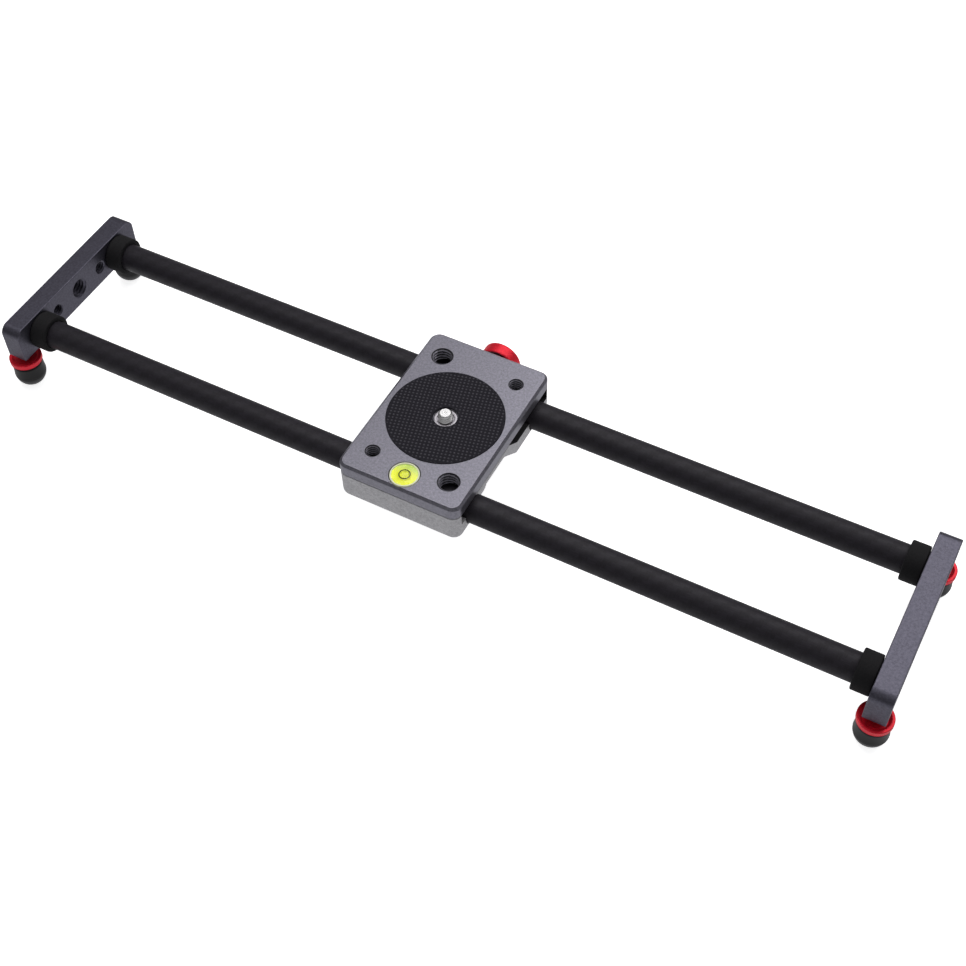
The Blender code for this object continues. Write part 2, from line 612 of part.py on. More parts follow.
def make_lock(carriage):
    """The lock: a knob and screw that press a shoe on the back rail."""
    near = RAIL_Y + RAIL_RADIUS + BRAKE_CLEAR
    axis = new_empty("lock_axis", (0, 0, 0), carriage)
    turned("brake_shoe", rod(BRAKE_RADIUS, near, BRAKE_FAR), PLASTIC, axis, along="Y", turns=SMALL_TURNS)
    bore = LOCK_SCREW_RADIUS + GAP
    seat = CARRIAGE_WIDE / 2 + GAP
    bush = [(LOCK_FLANGE_RADIUS, LOCK_BUSH_OUTER), (LOCK_FLANGE_RADIUS, seat), (LOCK_BUSH_RADIUS, seat),
            (LOCK_BUSH_RADIUS, LOCK_BUSH_INNER), (bore, LOCK_BUSH_INNER), (bore, LOCK_BUSH_OUTER)]
    turned("lock_bush", bush, ALLOY, axis, along="Y", turns=16)
    cap = KNOB_FAR - KNOB_CAP
    stem = rod(LOCK_SCREW_RADIUS, BRAKE_FAR + GAP, cap - GAP)
    turned("lock_screw", stem, STEEL, axis, along="Y", turns=SMALL_TURNS)
    edge = 0.0006
    knob = [(0, KNOB_FAR), (KNOB_RADIUS - edge, KNOB_FAR), (KNOB_RADIUS, KNOB_FAR - edge),
            (KNOB_RADIUS, KNOB_NEAR), (bore, KNOB_NEAR), (bore, cap), (0, cap)]
    turned("lock_knob", knob, RED, axis, along="Y", turns=FINE_TURNS)


# ---- The whole slider ---------------------------------------------------------------------------
def build():
    frame = new_empty("rail_plane", (0, MIDDLE_Y, -FOOT_BOTTOM))
    for side, end in SIDES:
        make_end_plate(side, end, frame)
    for way, rail in RAILS:
        make_rail(way, rail, frame)
    for side, end in SIDES:
        for way, rail in RAILS:
            make_rail_end(side, end, way, rail, frame)
            make_foot(side, end, way, rail, frame)
    carriage = new_empty("carriage_axis", (CARRIAGE_X, 0, 0), frame)
    make_deck(carriage)
    make_housing(carriage)
    make_rollers(carriage)
    make_camera_seat(carriage)
    make_level(carriage)
    make_lock(carriage)
    for obj in PARTS.objects:
        if obj.type == "MESH":
            smooth(obj.data)


build()
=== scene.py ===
"""Looks of a camera slider: a padded roller carriage on two carbon rails between drilled end plates.

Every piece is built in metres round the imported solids, whose boxes give the places and sizes.
Turned pieces are made about their own Z axis and then laid along the axis they turn on.
"""
import json
import math

import bmesh
import bpy
from mathutils import Matrix, Vector, noise
from mathutils.geometry import delaunay_2d_cdt


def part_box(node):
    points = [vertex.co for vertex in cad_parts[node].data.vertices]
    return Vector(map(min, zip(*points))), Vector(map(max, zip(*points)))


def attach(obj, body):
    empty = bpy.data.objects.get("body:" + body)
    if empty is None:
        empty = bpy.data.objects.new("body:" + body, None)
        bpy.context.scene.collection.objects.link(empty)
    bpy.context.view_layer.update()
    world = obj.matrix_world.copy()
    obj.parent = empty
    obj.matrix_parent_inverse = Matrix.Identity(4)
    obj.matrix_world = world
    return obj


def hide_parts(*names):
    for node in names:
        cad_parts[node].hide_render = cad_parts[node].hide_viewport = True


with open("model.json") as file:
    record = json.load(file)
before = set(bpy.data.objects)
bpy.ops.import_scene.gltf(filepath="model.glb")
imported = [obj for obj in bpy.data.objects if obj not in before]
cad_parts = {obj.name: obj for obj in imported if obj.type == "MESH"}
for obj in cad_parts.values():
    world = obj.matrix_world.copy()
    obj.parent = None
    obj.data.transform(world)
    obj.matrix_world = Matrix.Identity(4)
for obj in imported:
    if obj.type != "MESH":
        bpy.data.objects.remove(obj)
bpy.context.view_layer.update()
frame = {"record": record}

TAU = 2 * math.pi
MM = 0.001
RECORD = frame["record"]
BODY_OF = {node: body for body, nodes in RECORD["behaviour"]["bodies"].items() for node in nodes}
SIDES = ((-1, "left"), (1, "right"))
RAILS = ("front", "back")

# Pitch and depth of the screw threads
UNC_3_8 = (25.4 * MM / 16, 0.85 * MM)
UNC_1_4 = (25.4 * MM / 20, 0.62 * MM)
METRIC_4 = (0.70 * MM, 0.38 * MM)
HOLE_3_8 = 4.7 * MM            # radius of the holes with each thread
HOLE_1_4 = 3.2 * MM

# Details that the boxes don't give
PLATE_ROUND = 4.2 * MM
PLATE_FOOT_ROUND = 0.6 * MM
PLATE_BEVEL = 0.35 * MM
CORNER_ROUND = 4.2 * MM
DECK_BEVEL = 1.1 * MM
HOUSING_ROUND = 3.0 * MM
DECK_THREAD_X = 17.3 * MM
DECK_THREAD_Y = 28.6 * MM
END_THREAD_Y = 15.2 * MM
DOT_PITCH = 1.60 * MM
DOT_TURN = math.radians(15)
DOT_TALL = 0.28 * MM
TOWS = 20                      # carbon tows round a rail
WEB_BOTTOM = 3.8 * MM          # the housing's heights are above the rail axis
POCKET_FLOOR = 1.0 * MM
POCKET_WALL = 37.0 * MM
END_WEB_X = 23.9 * MM          # beyond this, the housing's front side is only a web
END_NOTCH_Y = (-29.0 * MM, -2.4 * MM)

# Camera: where it looks from and at
CAMERA_TARGET = Vector((26.4, -25.6, 38.0)) * MM
CAMERA_AZIMUTH = 29.48
CAMERA_ELEVATION = 51.96
CAMERA_ROLL = -1.73
CAMERA_DISTANCE = 0.5958
CAMERA_LENS = 56.9

# Tint of the lights, and how bright the surroundings are from straight below, at -1, to straight above, at 1
LIGHT_TINT = (1.0, 0.99, 1.0)
SURROUNDINGS = ((-0.22, 0.68), (-0.04, 0.12), (0.10, 0.12), (0.60, 0.20), (0.95, 0.38))


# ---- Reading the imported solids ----
def middle(node):
    low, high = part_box(node)
    return (low + high) / 2


def extent(node):
    low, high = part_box(node)
    return high - low


RAIL_Z = middle("rail_front").z
MIDDLE_Y = (middle("rail_front").y + middle("rail_back").y) / 2
RAIL_RADIUS = extent("rail_front").z / 2
RAIL_Y = middle("rail_back").y - MIDDLE_Y
CHANNEL_RADIUS = RAIL_RADIUS + 0.45 * MM
CARRIAGE = Vector((middle("carriage_deck").x, MIDDLE_Y, 0))
DECK_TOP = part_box("carriage_deck")[1].z
DECK_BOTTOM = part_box("carriage_deck")[0].z


# ---- Mesh helpers ----
def to_mesh(shape, name="mesh"):
    bmesh.ops.recalc_face_normals(shape, faces=shape.faces)
    mesh = bpy.data.meshes.new(name)
    shape.to_mesh(mesh)
    shape.free()
    return mesh


def rounded_line(corners, steps=5, closed=False):
    """Points of a line through (a, b, radius) corners, with an arc at each corner that has a radius."""
    points = []
    count = len(corners)
    for i, (a, b, radius) in enumerate(corners):
        inside = closed or 0 < i < count - 1
        if radius == 0 or not inside:
            points.append((a, b))
            continue
        here = Vector((a, b))
        before = (Vector(corners[i - 1][:2]) - here).normalized()
        after = (Vector(corners[(i + 1) % count][:2]) - here).normalized()
        half = before.angle(after) / 2
        centre = here + (before + after).normalized() * radius / math.sin(half)
        first = here + before * radius / math.tan(half) - centre
        last = here + after * radius / math.tan(half) - centre
        sweep = first.angle_signed(last)
        for step in range(steps + 1):
            turn = -sweep * step / steps
            points.append((centre.x + first.x * math.cos(turn) - first.y * math.sin(turn),
                           centre.y + first.x * math.sin(turn) + first.y * math.cos(turn)))
    return points


def stitch(shape, one, other):
    """Faces between two closed rings of corners, either of which may be a single point."""
    steps = max(len(one), len(other))
    for step in range(steps):
        after = (step + 1) % steps
        corners = [one[step % len(one)], one[after % len(one)],
                   other[after % len(other)], other[step % len(other)]]
        corners = list(dict.fromkeys(corners))
        if len(corners) > 2:
            shape.faces.new(corners)


def circle(radius, height, steps):
    return [(radius * math.cos(TAU * step / steps), radius * math.sin(TAU * step / steps), height)
            for step in range(steps)]


def revolve(profile, steps=96, ripple=None):
    """A turned body: profile is (radius, height) points from axis to axis, or a closed ring of them."""
    shape = bmesh.new()
    rings = []
    for radius, height in profile:
        if radius < 1e-7:
            rings.append([shape.verts.new((0, 0, height))])
            continue
        ring = []
        for step in range(steps):
            angle = TAU * step / steps
            reach = radius if ripple is None else ripple(radius, height, angle)
            ring.append(shape.verts.new((reach * math.cos(angle), reach * math.sin(angle), height)))
        rings.append(ring)
    pairs = list(zip(rings, rings[1:]))
    if len(rings[0]) > 1:
        pairs.append((rings[-1], rings[0]))
    for one, other in pairs:
        stitch(shape, one, other)
    return to_mesh(shape)


def loft(rings):
    """A closed body through rings of as many points each, with flat ends."""
    shape = bmesh.new()
    loops = [[shape.verts.new(point) for point in ring] for ring in rings]
    for one, other in zip(loops, loops[1:]):
        stitch(shape, one, other)
    shape.faces.new(loops[0][::-1])
    shape.faces.new(loops[-1])
    return to_mesh(shape)


def ridge(phase):
    """Height of a screw thread's ridge, from 0 in its root to 1 on its crest."""
    rise = 1 - abs(2 * phase - 1)
    return min(1.0, max(0.0, (rise - 0.14) / 0.72))


def helical(low, high, pitch, reach, steps=64, rows_per_pitch=12, dimple=None):
    """A closed screw-shaped body: reach gives its radius at a height and at a phase of the thread."""
    shape = bmesh.new()
    rows = math.ceil((high - low) / pitch * rows_per_pitch)
    loops = []
    for row in range(rows + 1):
        height = low + (high - low) * row / rows
        loop = []
        for step in range(steps):
            angle = TAU * step / steps
            radius = reach(height, (height / pitch - angle / TAU) % 1)
            loop.append(shape.verts.new((radius * math.cos(angle), radius * math.sin(angle), height)))
        loops.append(loop)
    wide, deep = dimple or (0, 0)
    if dimple:
        loops.append([shape.verts.new(point) for point in circle(wide, high, steps)])
    loops.insert(0, [shape.verts.new((0, 0, low))])
    loops.append([shape.verts.new((0, 0, high - deep))])
    for one, other in zip(loops, loops[1:]):
        stitch(shape, one, other)
    return to_mesh(shape)


def thread_cutter(radius, thread, low, high, steps=64):
    """Cutter of a threaded hole between two faces, with a small countersink at each."""
    pitch, depth = thread
    beyond = 0.4 * MM
    flare = radius + 0.06 * MM

    def reach(height, phase):
        sunk = max(min(height - low, high - height), 0)
        return max(radius - depth + depth * ridge(phase), min(radius, flare - 2.2 * sunk))

    return helical(low - beyond, high + beyond, pitch, reach, steps)


def bar(radius, low, high, steps=64):
    return revolve([(0, high), (radius, high), (radius, low), (0, low)], steps)


def moved(mesh, place=(0, 0, 0), along="Z", side=1):
    mesh.transform(axis_matrix(place, along, side))
    return mesh


def axis_matrix(place, along="Z", side=1):
    """Lays a piece made about +Z along another axis, or along that axis backwards where side is -1."""
    turn = Matrix.Identity(4)
    if along == "X":
        turn = Matrix.Rotation(side * math.pi / 2, 4, "Y")
    if along == "Y":
        turn = Matrix.Rotation(-side * math.pi / 2, 4, "X")
    return Matrix.Translation(Vector(place)) @ turn


def joined(meshes):
    shape = bmesh.new()
    for mesh in meshes:
        shape.from_mesh(mesh)
        bpy.data.meshes.remove(mesh)
    return to_mesh(shape)


def carved(mesh, cutter, operation="DIFFERENCE"):
    """The mesh after a Boolean with one cutter mesh; both are given up."""
    subject = bpy.data.objects.new("subject", mesh)
    tool = bpy.data.objects.new("tool", cutter)
    for obj in (subject, tool):
        bpy.context.scene.collection.objects.link(obj)
    modifier = subject.modifiers.new("cut", "BOOLEAN")
    modifier.operation = operation
    modifier.solver = "EXACT"
    modifier.object = tool
    return applied(subject, [tool])


def applied(subject, others=()):
    """A new mesh of the object with its modifiers, after which the objects are gone."""
    bpy.context.view_layer.update()
    evaluated = subject.evaluated_get(bpy.context.evaluated_depsgraph_get())
    mesh = bpy.data.meshes.new_from_object(evaluated)
    for obj in (subject, *others):
        data = obj.data
        bpy.data.objects.remove(obj)
        bpy.data.meshes.remove(data)
    return mesh


def bevelled(mesh, width, degrees):
    """The mesh with its edges sharper than an angle rounded off."""
    subject = bpy.data.objects.new("subject", mesh)
    bpy.context.scene.collection.objects.link(subject)
    modifier = subject.modifiers.new("soften", "BEVEL")
    modifier.width = width
    modifier.segments = 2
    modifier.limit_method = "ANGLE"
    modifier.angle_limit = math.radians(degrees)
    modifier.use_clamp_overlap = True
    return applied(subject)


def piece(name, mesh, material, body, matrix=None, crease=32, flat_faces=False):
    """A shown piece on a body, with its finish and its shading."""
    mesh.materials.clear()
    mesh.materials.append(material)
    mesh.shade_smooth()
    mesh.set_sharp_from_angle(angle=math.radians(crease))
    mesh.name = name
    obj = bpy.data.objects.new(name, mesh)
    bpy.context.scene.collection.objects.link(obj)
    if matrix is not None:
        obj.matrix_world = matrix
    if flat_faces:
        weighting = obj.modifiers.new("even_shading", "WEIGHTED_NORMAL")
        weighting.keep_sharp = True
        weighting.weight = 90
    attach(obj, body)
    return obj


def stand_in(node, mesh, material, matrix=None, crease=32, flat_faces=False):
    """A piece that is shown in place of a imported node."""
    obj = piece("fine_" + node, mesh, material, BODY_OF[node], matrix, crease, flat_faces)
    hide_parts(node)
    return obj


# ---- Materials ----
def set_stops(node, stops):
    """Gives a colour ramp its (position, colour) stops."""
    elements = node.color_ramp.elements
    while len(elements) < len(stops):
        elements.new(0.5)
    for element, (position, colour) in zip(elements, stops):
        element.position = position
        element.color = (*colour, 1.0)


class Nodes:
    """Short names for building one material's node tree."""

    def __init__(self, name):
        self.material = bpy.data.materials.new(name)
        self.material.use_nodes = True
        self.tree = self.material.node_tree
        self.shader = self.tree.nodes["Principled BSDF"]
        self.coordinates = self.tree.nodes.new("ShaderNodeTexCoord").outputs["Object"]

    def link(self, source, target):
        self.tree.links.new(source, target)

    def value(self, source, socket):
        """Links a socket, or sets it to a number."""
        if hasattr(source, "links"):
            self.link(source, socket)
        else:
            socket.default_value = source

    def fill(self, node, values):
        for name, source in values.items():
            self.value(source, node.inputs[name.replace("_", " ")])
        return node

    def add(self, kind, **values):
        """A new node, with its inputs linked or set by name."""
        return self.fill(self.tree.nodes.new("ShaderNode" + kind), values)

    def set(self, **values):
        self.fill(self.shader, values)

    def math(self, operation, first, second=0.0):
        node = self.add("Math")
        node.operation = operation
        self.value(first, node.inputs[0])
        self.value(second, node.inputs[1])
        return node.outputs[0]

    def split(self, vector):
        return self.add("SeparateXYZ", Vector=vector).outputs

    def combine(self, x, y, z):
        return self.add("CombineXYZ", X=x, Y=y, Z=z).outputs[0]

    def noise(self, scale, detail=3.0, roughness=0.5, vector=None):
        return self.add("TexNoise", Scale=scale, Detail=detail, Roughness=roughness,
                        Vector=vector or self.coordinates).outputs["Fac"]

    def ramp(self, source, stops):
        node = self.add("ValToRGB", Fac=source)
        set_stops(node, stops)
        return node.outputs["Color"]

    def between(self, source, low, high):
        """Maps 0 to 1 onto low to high."""
        return self.add("MapRange", Value=source, To_Min=low, To_Max=high).outputs["Result"]

    def blend(self, factor, first, second):
        """Blends two numbers, as mix does two colours."""
        node = self.add("Mix", Factor=factor)
        self.value(first, node.inputs[2])
        self.value(second, node.inputs[3])
        return node.outputs[0]

    def mix(self, factor, first, second):
        node = self.add("Mix", Factor=factor)
        node.data_type = "RGBA"
        for socket, source in ((node.inputs[6], first), (node.inputs[7], second)):
            self.value(source if hasattr(source, "links") else (*source, 1.0), socket)
        return node.outputs[2]

    def bump(self, height, distance, strength):
        node = self.add("Bump", Strength=strength, Distance=distance, Height=height)
        self.link(node.outputs["Normal"], self.shader.inputs["Normal"])


def shade(colour, factor):
    return tuple(channel * factor for channel in colour)


def anodised(name, colour, metallic, roughness, grain=1.0):
    """Sand-blasted and anodised aluminium: fine grain, soft sheen, slight clouding."""
    nodes = Nodes(name)
    fine = nodes.noise(2600, 2, 0.6)
    coarse = nodes.noise(1050, 2, 0.6)
    clouds = nodes.noise(60, 2)
    grains = nodes.math("ADD", nodes.math("MULTIPLY", fine, 0.45), nodes.math("MULTIPLY", coarse, 0.55))
    speckle = nodes.ramp(grains, [(0.34, shade(colour, 1 - 0.30 * grain)),
                                  (0.66, shade(colour, 1 + 0.30 * grain))])
    tone = nodes.mix(nodes.between(clouds, 0.0, 0.30), speckle, shade(colour, 0.90))
    nodes.set(Base_Color=tone, Metallic=metallic,
              Roughness=nodes.between(fine, roughness - 0.05, roughness + 0.07))
    nodes.bump(grains, 0.06 * MM, 0.45 * grain)
    return nodes.material


def carbon_twill():
    """Two-by-two twill of carbon tows round a tube, under a satin resin."""
    nodes = Nodes("carbon_twill")
    x, y, z = nodes.split(nodes.coordinates)
    around = nodes.math("MULTIPLY", nodes.math("ARCTAN2", y, x), TOWS / TAU)
    around = nodes.math("ADD", around, TOWS)
    tow_width = TAU * RAIL_RADIUS / TOWS
    ahead = nodes.math("ADD", nodes.math("MULTIPLY", z, 1 / tow_width), 400)
    column = nodes.math("FLOOR", around)
    row = nodes.math("FLOOR", ahead)
    step = nodes.math("MODULO", nodes.math("ADD", column, row), 4)
    over = nodes.math("LESS_THAN", step, 1.5)
    across_ring = nodes.math("FRACT", around)
    across_length = nodes.math("FRACT", ahead)

    def crown(position):
        return nodes.math("SINE", nodes.math("MULTIPLY", position, math.pi))

    fibre_long = nodes.noise(1.0, 3, 0.6, nodes.combine(nodes.math("MULTIPLY", around, 9), 0,
                                                       nodes.math("MULTIPLY", ahead, 0.5)))
    fibre_ring = nodes.noise(1.0, 3, 0.6, nodes.combine(nodes.math("MULTIPLY", around, 0.5), 0,
                                                       nodes.math("MULTIPLY", ahead, 9)))
    fibre = nodes.blend(over, fibre_ring, fibre_long)
    relief = nodes.blend(over, crown(across_length), crown(across_ring))
    height = nodes.math("ADD", relief, nodes.math("MULTIPLY", fibre, 0.35))
    # Painted sheen: the warp tows are coloured lighter than the weft tows, for how the two fibre directions
    # reflect
    warp = nodes.ramp(fibre, [(0.25, (0.0170, 0.0150, 0.0190)), (0.75, (0.0340, 0.0300, 0.0385))])
    weft = nodes.ramp(fibre, [(0.25, (0.0140, 0.0122, 0.0152)), (0.75, (0.0290, 0.0255, 0.0325))])
    tone = nodes.mix(over, weft, warp)
    rough = nodes.math("ADD", nodes.math("MULTIPLY", over, -0.04), nodes.between(fibre, 0.48, 0.60))
    nodes.set(Base_Color=tone, Roughness=rough, Specular_IOR_Level=0.26)
    nodes.bump(height, 0.04 * MM, 0.25)
    return nodes.material


def rubber(name, colour, roughness, grain, depth):
    nodes = Nodes(name)
    fine = nodes.noise(grain, 3, 0.6)
    tone = nodes.ramp(fine, [(0.3, shade(colour, 0.75)), (0.75, shade(colour, 1.35))])
    nodes.set(Base_Color=tone, Roughness=nodes.between(fine, roughness - 0.08, roughness + 0.08),
              Specular_IOR_Level=0.4)
    nodes.bump(fine, depth, 0.6)
    return nodes.material


def dotted_rubber():
    """Rubber whose raised dots have painted light on their tops, and painted shade on the ground between
    them.
    """
    nodes = Nodes("pad_rubber")
    _, _, z = nodes.split(nodes.coordinates)
    height = nodes.math("ADD", nodes.math("MULTIPLY", z, 1 / DOT_TALL), 1.0)
    fine = nodes.noise(2600, 2, 0.6)
    level = nodes.math("ADD", height, nodes.math("MULTIPLY", nodes.math("SUBTRACT", fine, 0.5), 0.6))
    # Painted light and shade: paler with height up the dots
    tone = nodes.ramp(level, [(0.15, (0.0110, 0.0100, 0.0160)), (0.85, (0.082, 0.078, 0.092))])
    nodes.set(Base_Color=tone, Roughness=nodes.between(fine, 0.60, 0.78), Specular_IOR_Level=0.22)
    nodes.bump(fine, 0.012 * MM, 0.5)
    return nodes.material


def turned_metal(name, colour, roughness):
    """Metal with the fine concentric lines that a lathe leaves."""
    nodes = Nodes(name)
    x, y, z = nodes.split(nodes.coordinates)
    radius = nodes.math("SQRT", nodes.math("ADD", nodes.math("MULTIPLY", x, x), nodes.math("MULTIPLY", y, y)))
    lines = nodes.noise(5200, 2, 0.6, nodes.combine(radius, 0, z))
    patches = nodes.noise(300, 2)
    tone = nodes.ramp(lines, [(0.3, shade(colour, 0.88)), (0.7, shade(colour, 1.06))])
    nodes.set(Base_Color=tone, Metallic=1.0,
              Roughness=nodes.math("ADD", nodes.between(lines, roughness - 0.04, roughness + 0.06),
                                   nodes.between(patches, -0.03, 0.03)))
    nodes.bump(lines, 0.006 * MM, 0.6)
    return nodes.material


def clear_plastic():
    nodes = Nodes("clear_acrylic")
    fine = nodes.noise(900, 2)
    nodes.set(Base_Color=(1.0, 1.0, 0.96, 1.0), Roughness=nodes.between(fine, 0.01, 0.04),
              Transmission_Weight=1.0, IOR=1.30, Specular_IOR_Level=0.3)
    return nodes.material


def milky_plastic():
    nodes = Nodes("milky_acrylic")
    fine = nodes.noise(700, 2)
    tone = nodes.ramp(fine, [(0.3, (0.84, 0.86, 0.58)), (0.7, (0.93, 0.94, 0.74))])
    # The emission is a painted glow: the cup is no lamp
    nodes.set(Base_Color=tone, Roughness=0.25, Emission_Color=(0.9, 0.95, 0.6, 1.0), Emission_Strength=0.12)
    return nodes.material


def spirit():
    """Yellow-green level liquid, with a painted glow from its emission, and painted shade that turns it
    greener and darker towards its +Y side.
    """
    nodes = Nodes("level_spirit")
    soft = nodes.noise(250, 2)
    _, y, _ = nodes.split(nodes.coordinates)
    # Painted shade: greener and darker towards +Y
    side = nodes.math("ADD", nodes.math("MULTIPLY", y, 1 / (9 * MM)), 0.5)
    side = nodes.math("ADD", side, nodes.math("MULTIPLY", nodes.math("SUBTRACT", soft, 0.5), 0.25))
    tone = nodes.ramp(side, [(0.55, (0.88, 0.95, 0.055)), (0.92, (0.66, 0.80, 0.18))])
    # Painted glow: the liquid is no lamp
    glow = nodes.ramp(side, [(0.55, (0.92, 0.95, 0.05)), (0.92, (0.52, 0.70, 0.14))])
    nodes.set(Base_Color=tone, Roughness=0.2, Emission_Color=glow, Emission_Strength=0.42)
    return nodes.material


def plain_plastic(name, colour, roughness=0.45):
    nodes = Nodes(name)
    fine = nodes.noise(1500, 2)
    tone = nodes.ramp(fine, [(0.3, shade(colour, 0.94)), (0.7, shade(colour, 1.04))])
    nodes.set(Base_Color=tone, Roughness=nodes.between(fine, roughness - 0.05, roughness + 0.05))
    nodes.bump(fine, 0.01 * MM, 0.4)
    return nodes.material


SLATE = anodised("slate_anodised", (0.108, 0.104, 0.134), 0.80, 0.38)
DECK_GREY = anodised("deck_anodised", (0.255, 0.249, 0.290), 0.80, 0.36)
HOUSING_GREY = anodised("housing_anodised", (0.500, 0.495, 0.505), 0.65, 0.45)
# Painted shade: near-black for the deeper half of the deck's thread grooves
THREAD_SHADE = anodised("thread_groove_painted_shade", (0.030, 0.029, 0.033), 0.4, 0.5)
# Painted shade: near-black for the insides of the housing's roller pockets and rail channels
POCKET_SHADE = anodised("pocket_painted_shade", (0.012, 0.012, 0.013), 0.2, 0.65)
RED = anodised("red_anodised", (0.95, 0.012, 0.036), 0.40, 0.34, 0.5)
# Painted shade: near-black red for the hollow in the knob's back face
KNOB_RECESS_SHADE = anodised("knob_recess_painted_shade", (0.035, 0.004, 0.006), 0.2, 0.6)
CARBON = carbon_twill()
FOAM = rubber("bumper_foam", (0.0065, 0.0060, 0.0070), 0.85, 2400, 0.12 * MM)
PAD_RUBBER = dotted_rubber()
FOOT_RUBBER = rubber("foot_rubber", (0.0035, 0.0036, 0.0035), 0.40, 2200, 0.02 * MM)
STEEL = turned_metal("bright_steel", (0.93, 0.92, 0.91), 0.24)
SATIN_STEEL = turned_metal("satin_steel", (0.46, 0.44, 0.47), 0.36)
BLACK_STEEL = turned_metal("black_steel", (0.035, 0.035, 0.038), 0.38)
ALLOY = turned_metal("bare_aluminium", (0.66, 0.66, 0.67), 0.34)
ACETAL = plain_plastic("white_acetal", (0.78, 0.78, 0.74))
CLEAR = clear_plastic()
MILKY = milky_plastic()
SPIRIT = spirit()
OLIVE = plain_plastic("level_ring_ink", (0.120, 0.135, 0.001), 0.6)


# ---- End plates ----
def plate_outline(half_wide, half_tall, inset):
    """The end plate's outline in YZ, with round top corners, drawn in by an inset."""
    y = half_wide - inset
    top = half_tall - inset
    corners = [(y, -top, PLATE_FOOT_ROUND - inset), (y, top, PLATE_ROUND - inset),
               (-y, top, PLATE_ROUND - inset), (-y, -top, PLATE_FOOT_ROUND - inset)]
    return rounded_line(corners, 10, closed=True)


def make_end_plate(side, end):
    node = "end_plate_" + end
    place = middle(node)
    thick, wide, tall = extent(node) / 2
    edge = rounded_line([(2 * MM, -thick, 0), (0, -thick, PLATE_BEVEL), (0, thick, PLATE_BEVEL),
                         (2 * MM, thick, 0)], 4)[1:-1]
    rings = [[(x, y, z) for y, z in plate_outline(wide, tall, inset)] for inset, x in edge]
    mesh = loft(rings)
    cutters = []
    for y, radius, thread in ((0, HOLE_3_8, UNC_3_8), (END_THREAD_Y, HOLE_1_4, UNC_1_4),
                              (-END_THREAD_Y, HOLE_1_4, UNC_1_4)):
        cutters.append(moved(thread_cutter(radius, thread, -thick, thick), (0, y, 0), "X"))
    drop = RAIL_Z - place.z
    for rail in RAILS:
        y = middle("rail_" + rail).y - place.y
        socket = bar(RAIL_RADIUS + 0.3 * MM, thick - 5.8 * MM, thick + 1 * MM)
        cutters.append(moved(socket, (0, y, drop), "X", -side))
        csk = revolve([(0, thick + 0.5 * MM), (4.6 * MM, thick + 0.5 * MM), (2.3 * MM, thick - 1.9 * MM),
                       (2.3 * MM, -thick + 5 * MM), (0, -thick + 5 * MM)], 48)
        cutters.append(moved(csk, (0, y, drop), "X", side))
        stud = middle(f"foot_stud_{rail}_{end}")
        hole = bar(2.3 * MM, -tall - 1 * MM, tall - 1.2 * MM, 32)
        cutters.append(moved(hole, (stud.x - place.x, stud.y - place.y, 0)))
    mesh = carved(mesh, joined(cutters))
    stand_in(node, mesh, SLATE, Matrix.Translation(place), 25, True)


# ---- Rails and what is on their ends ----
def make_rail(rail):
    node = "rail_" + rail
    half = extent(node).x / 2
    bore = 5.05 * MM
    edge = 0.25 * MM
    profile = rounded_line([(RAIL_RADIUS, half, edge), (RAIL_RADIUS, -half, edge), (bore, -half, 0),
                            (bore, half, 0)], 3, closed=True)
    stand_in(node, revolve(profile, 128), CARBON, axis_matrix(middle(node), "X"))


def make_bumper(side, end, rail):
    """A sleeve of dense black foam whose surface is slightly uneven."""
    node = f"bumper_{rail}_{end}"
    half = extent(node).x / 2
    outer = extent(node).z / 2
    bore = RAIL_RADIUS + 0.15 * MM
    edge = 0.55 * MM
    corners = [(outer, half, edge), (outer, -half, edge), (bore, -half, 0.3 * MM), (bore, half, 0.3 * MM)]
    profile = rounded_line(corners, 4, closed=True)
    rows = 16
    first = max(range(len(profile)), key=lambda i: (profile[i][0] > outer - 1e-6, profile[i][1]))
    low = -half + edge
    high = half - edge
    rung = [(outer, high - (high - low) * row / rows) for row in range(1, rows)]
    profile = profile[:first + 1] + rung + profile[first + 1:]

    def uneven(radius, height, angle):
        if radius < bore + 0.1 * MM:
            return radius
        seed = Vector((math.cos(angle) * 7 + side * 3, math.sin(angle) * 7, height / MM * 1.1))
        return radius - 0.10 * MM * (0.5 + 0.5 * noise.noise(seed)) - 0.05 * MM * abs(noise.noise(seed * 3))

    stand_in(node, revolve(profile, 144, uneven), FOAM, axis_matrix(middle(node), "X"), 60)


def hexagon(apothem):
    """A ripple that makes rings of up to the hexagon's own radius six-sided."""
    def reach(radius, height, angle):
        if radius > apothem * 1.02:
            return radius
        return radius / math.cos((angle + math.pi / 6) % (math.pi / 3) - math.pi / 6)
    return reach


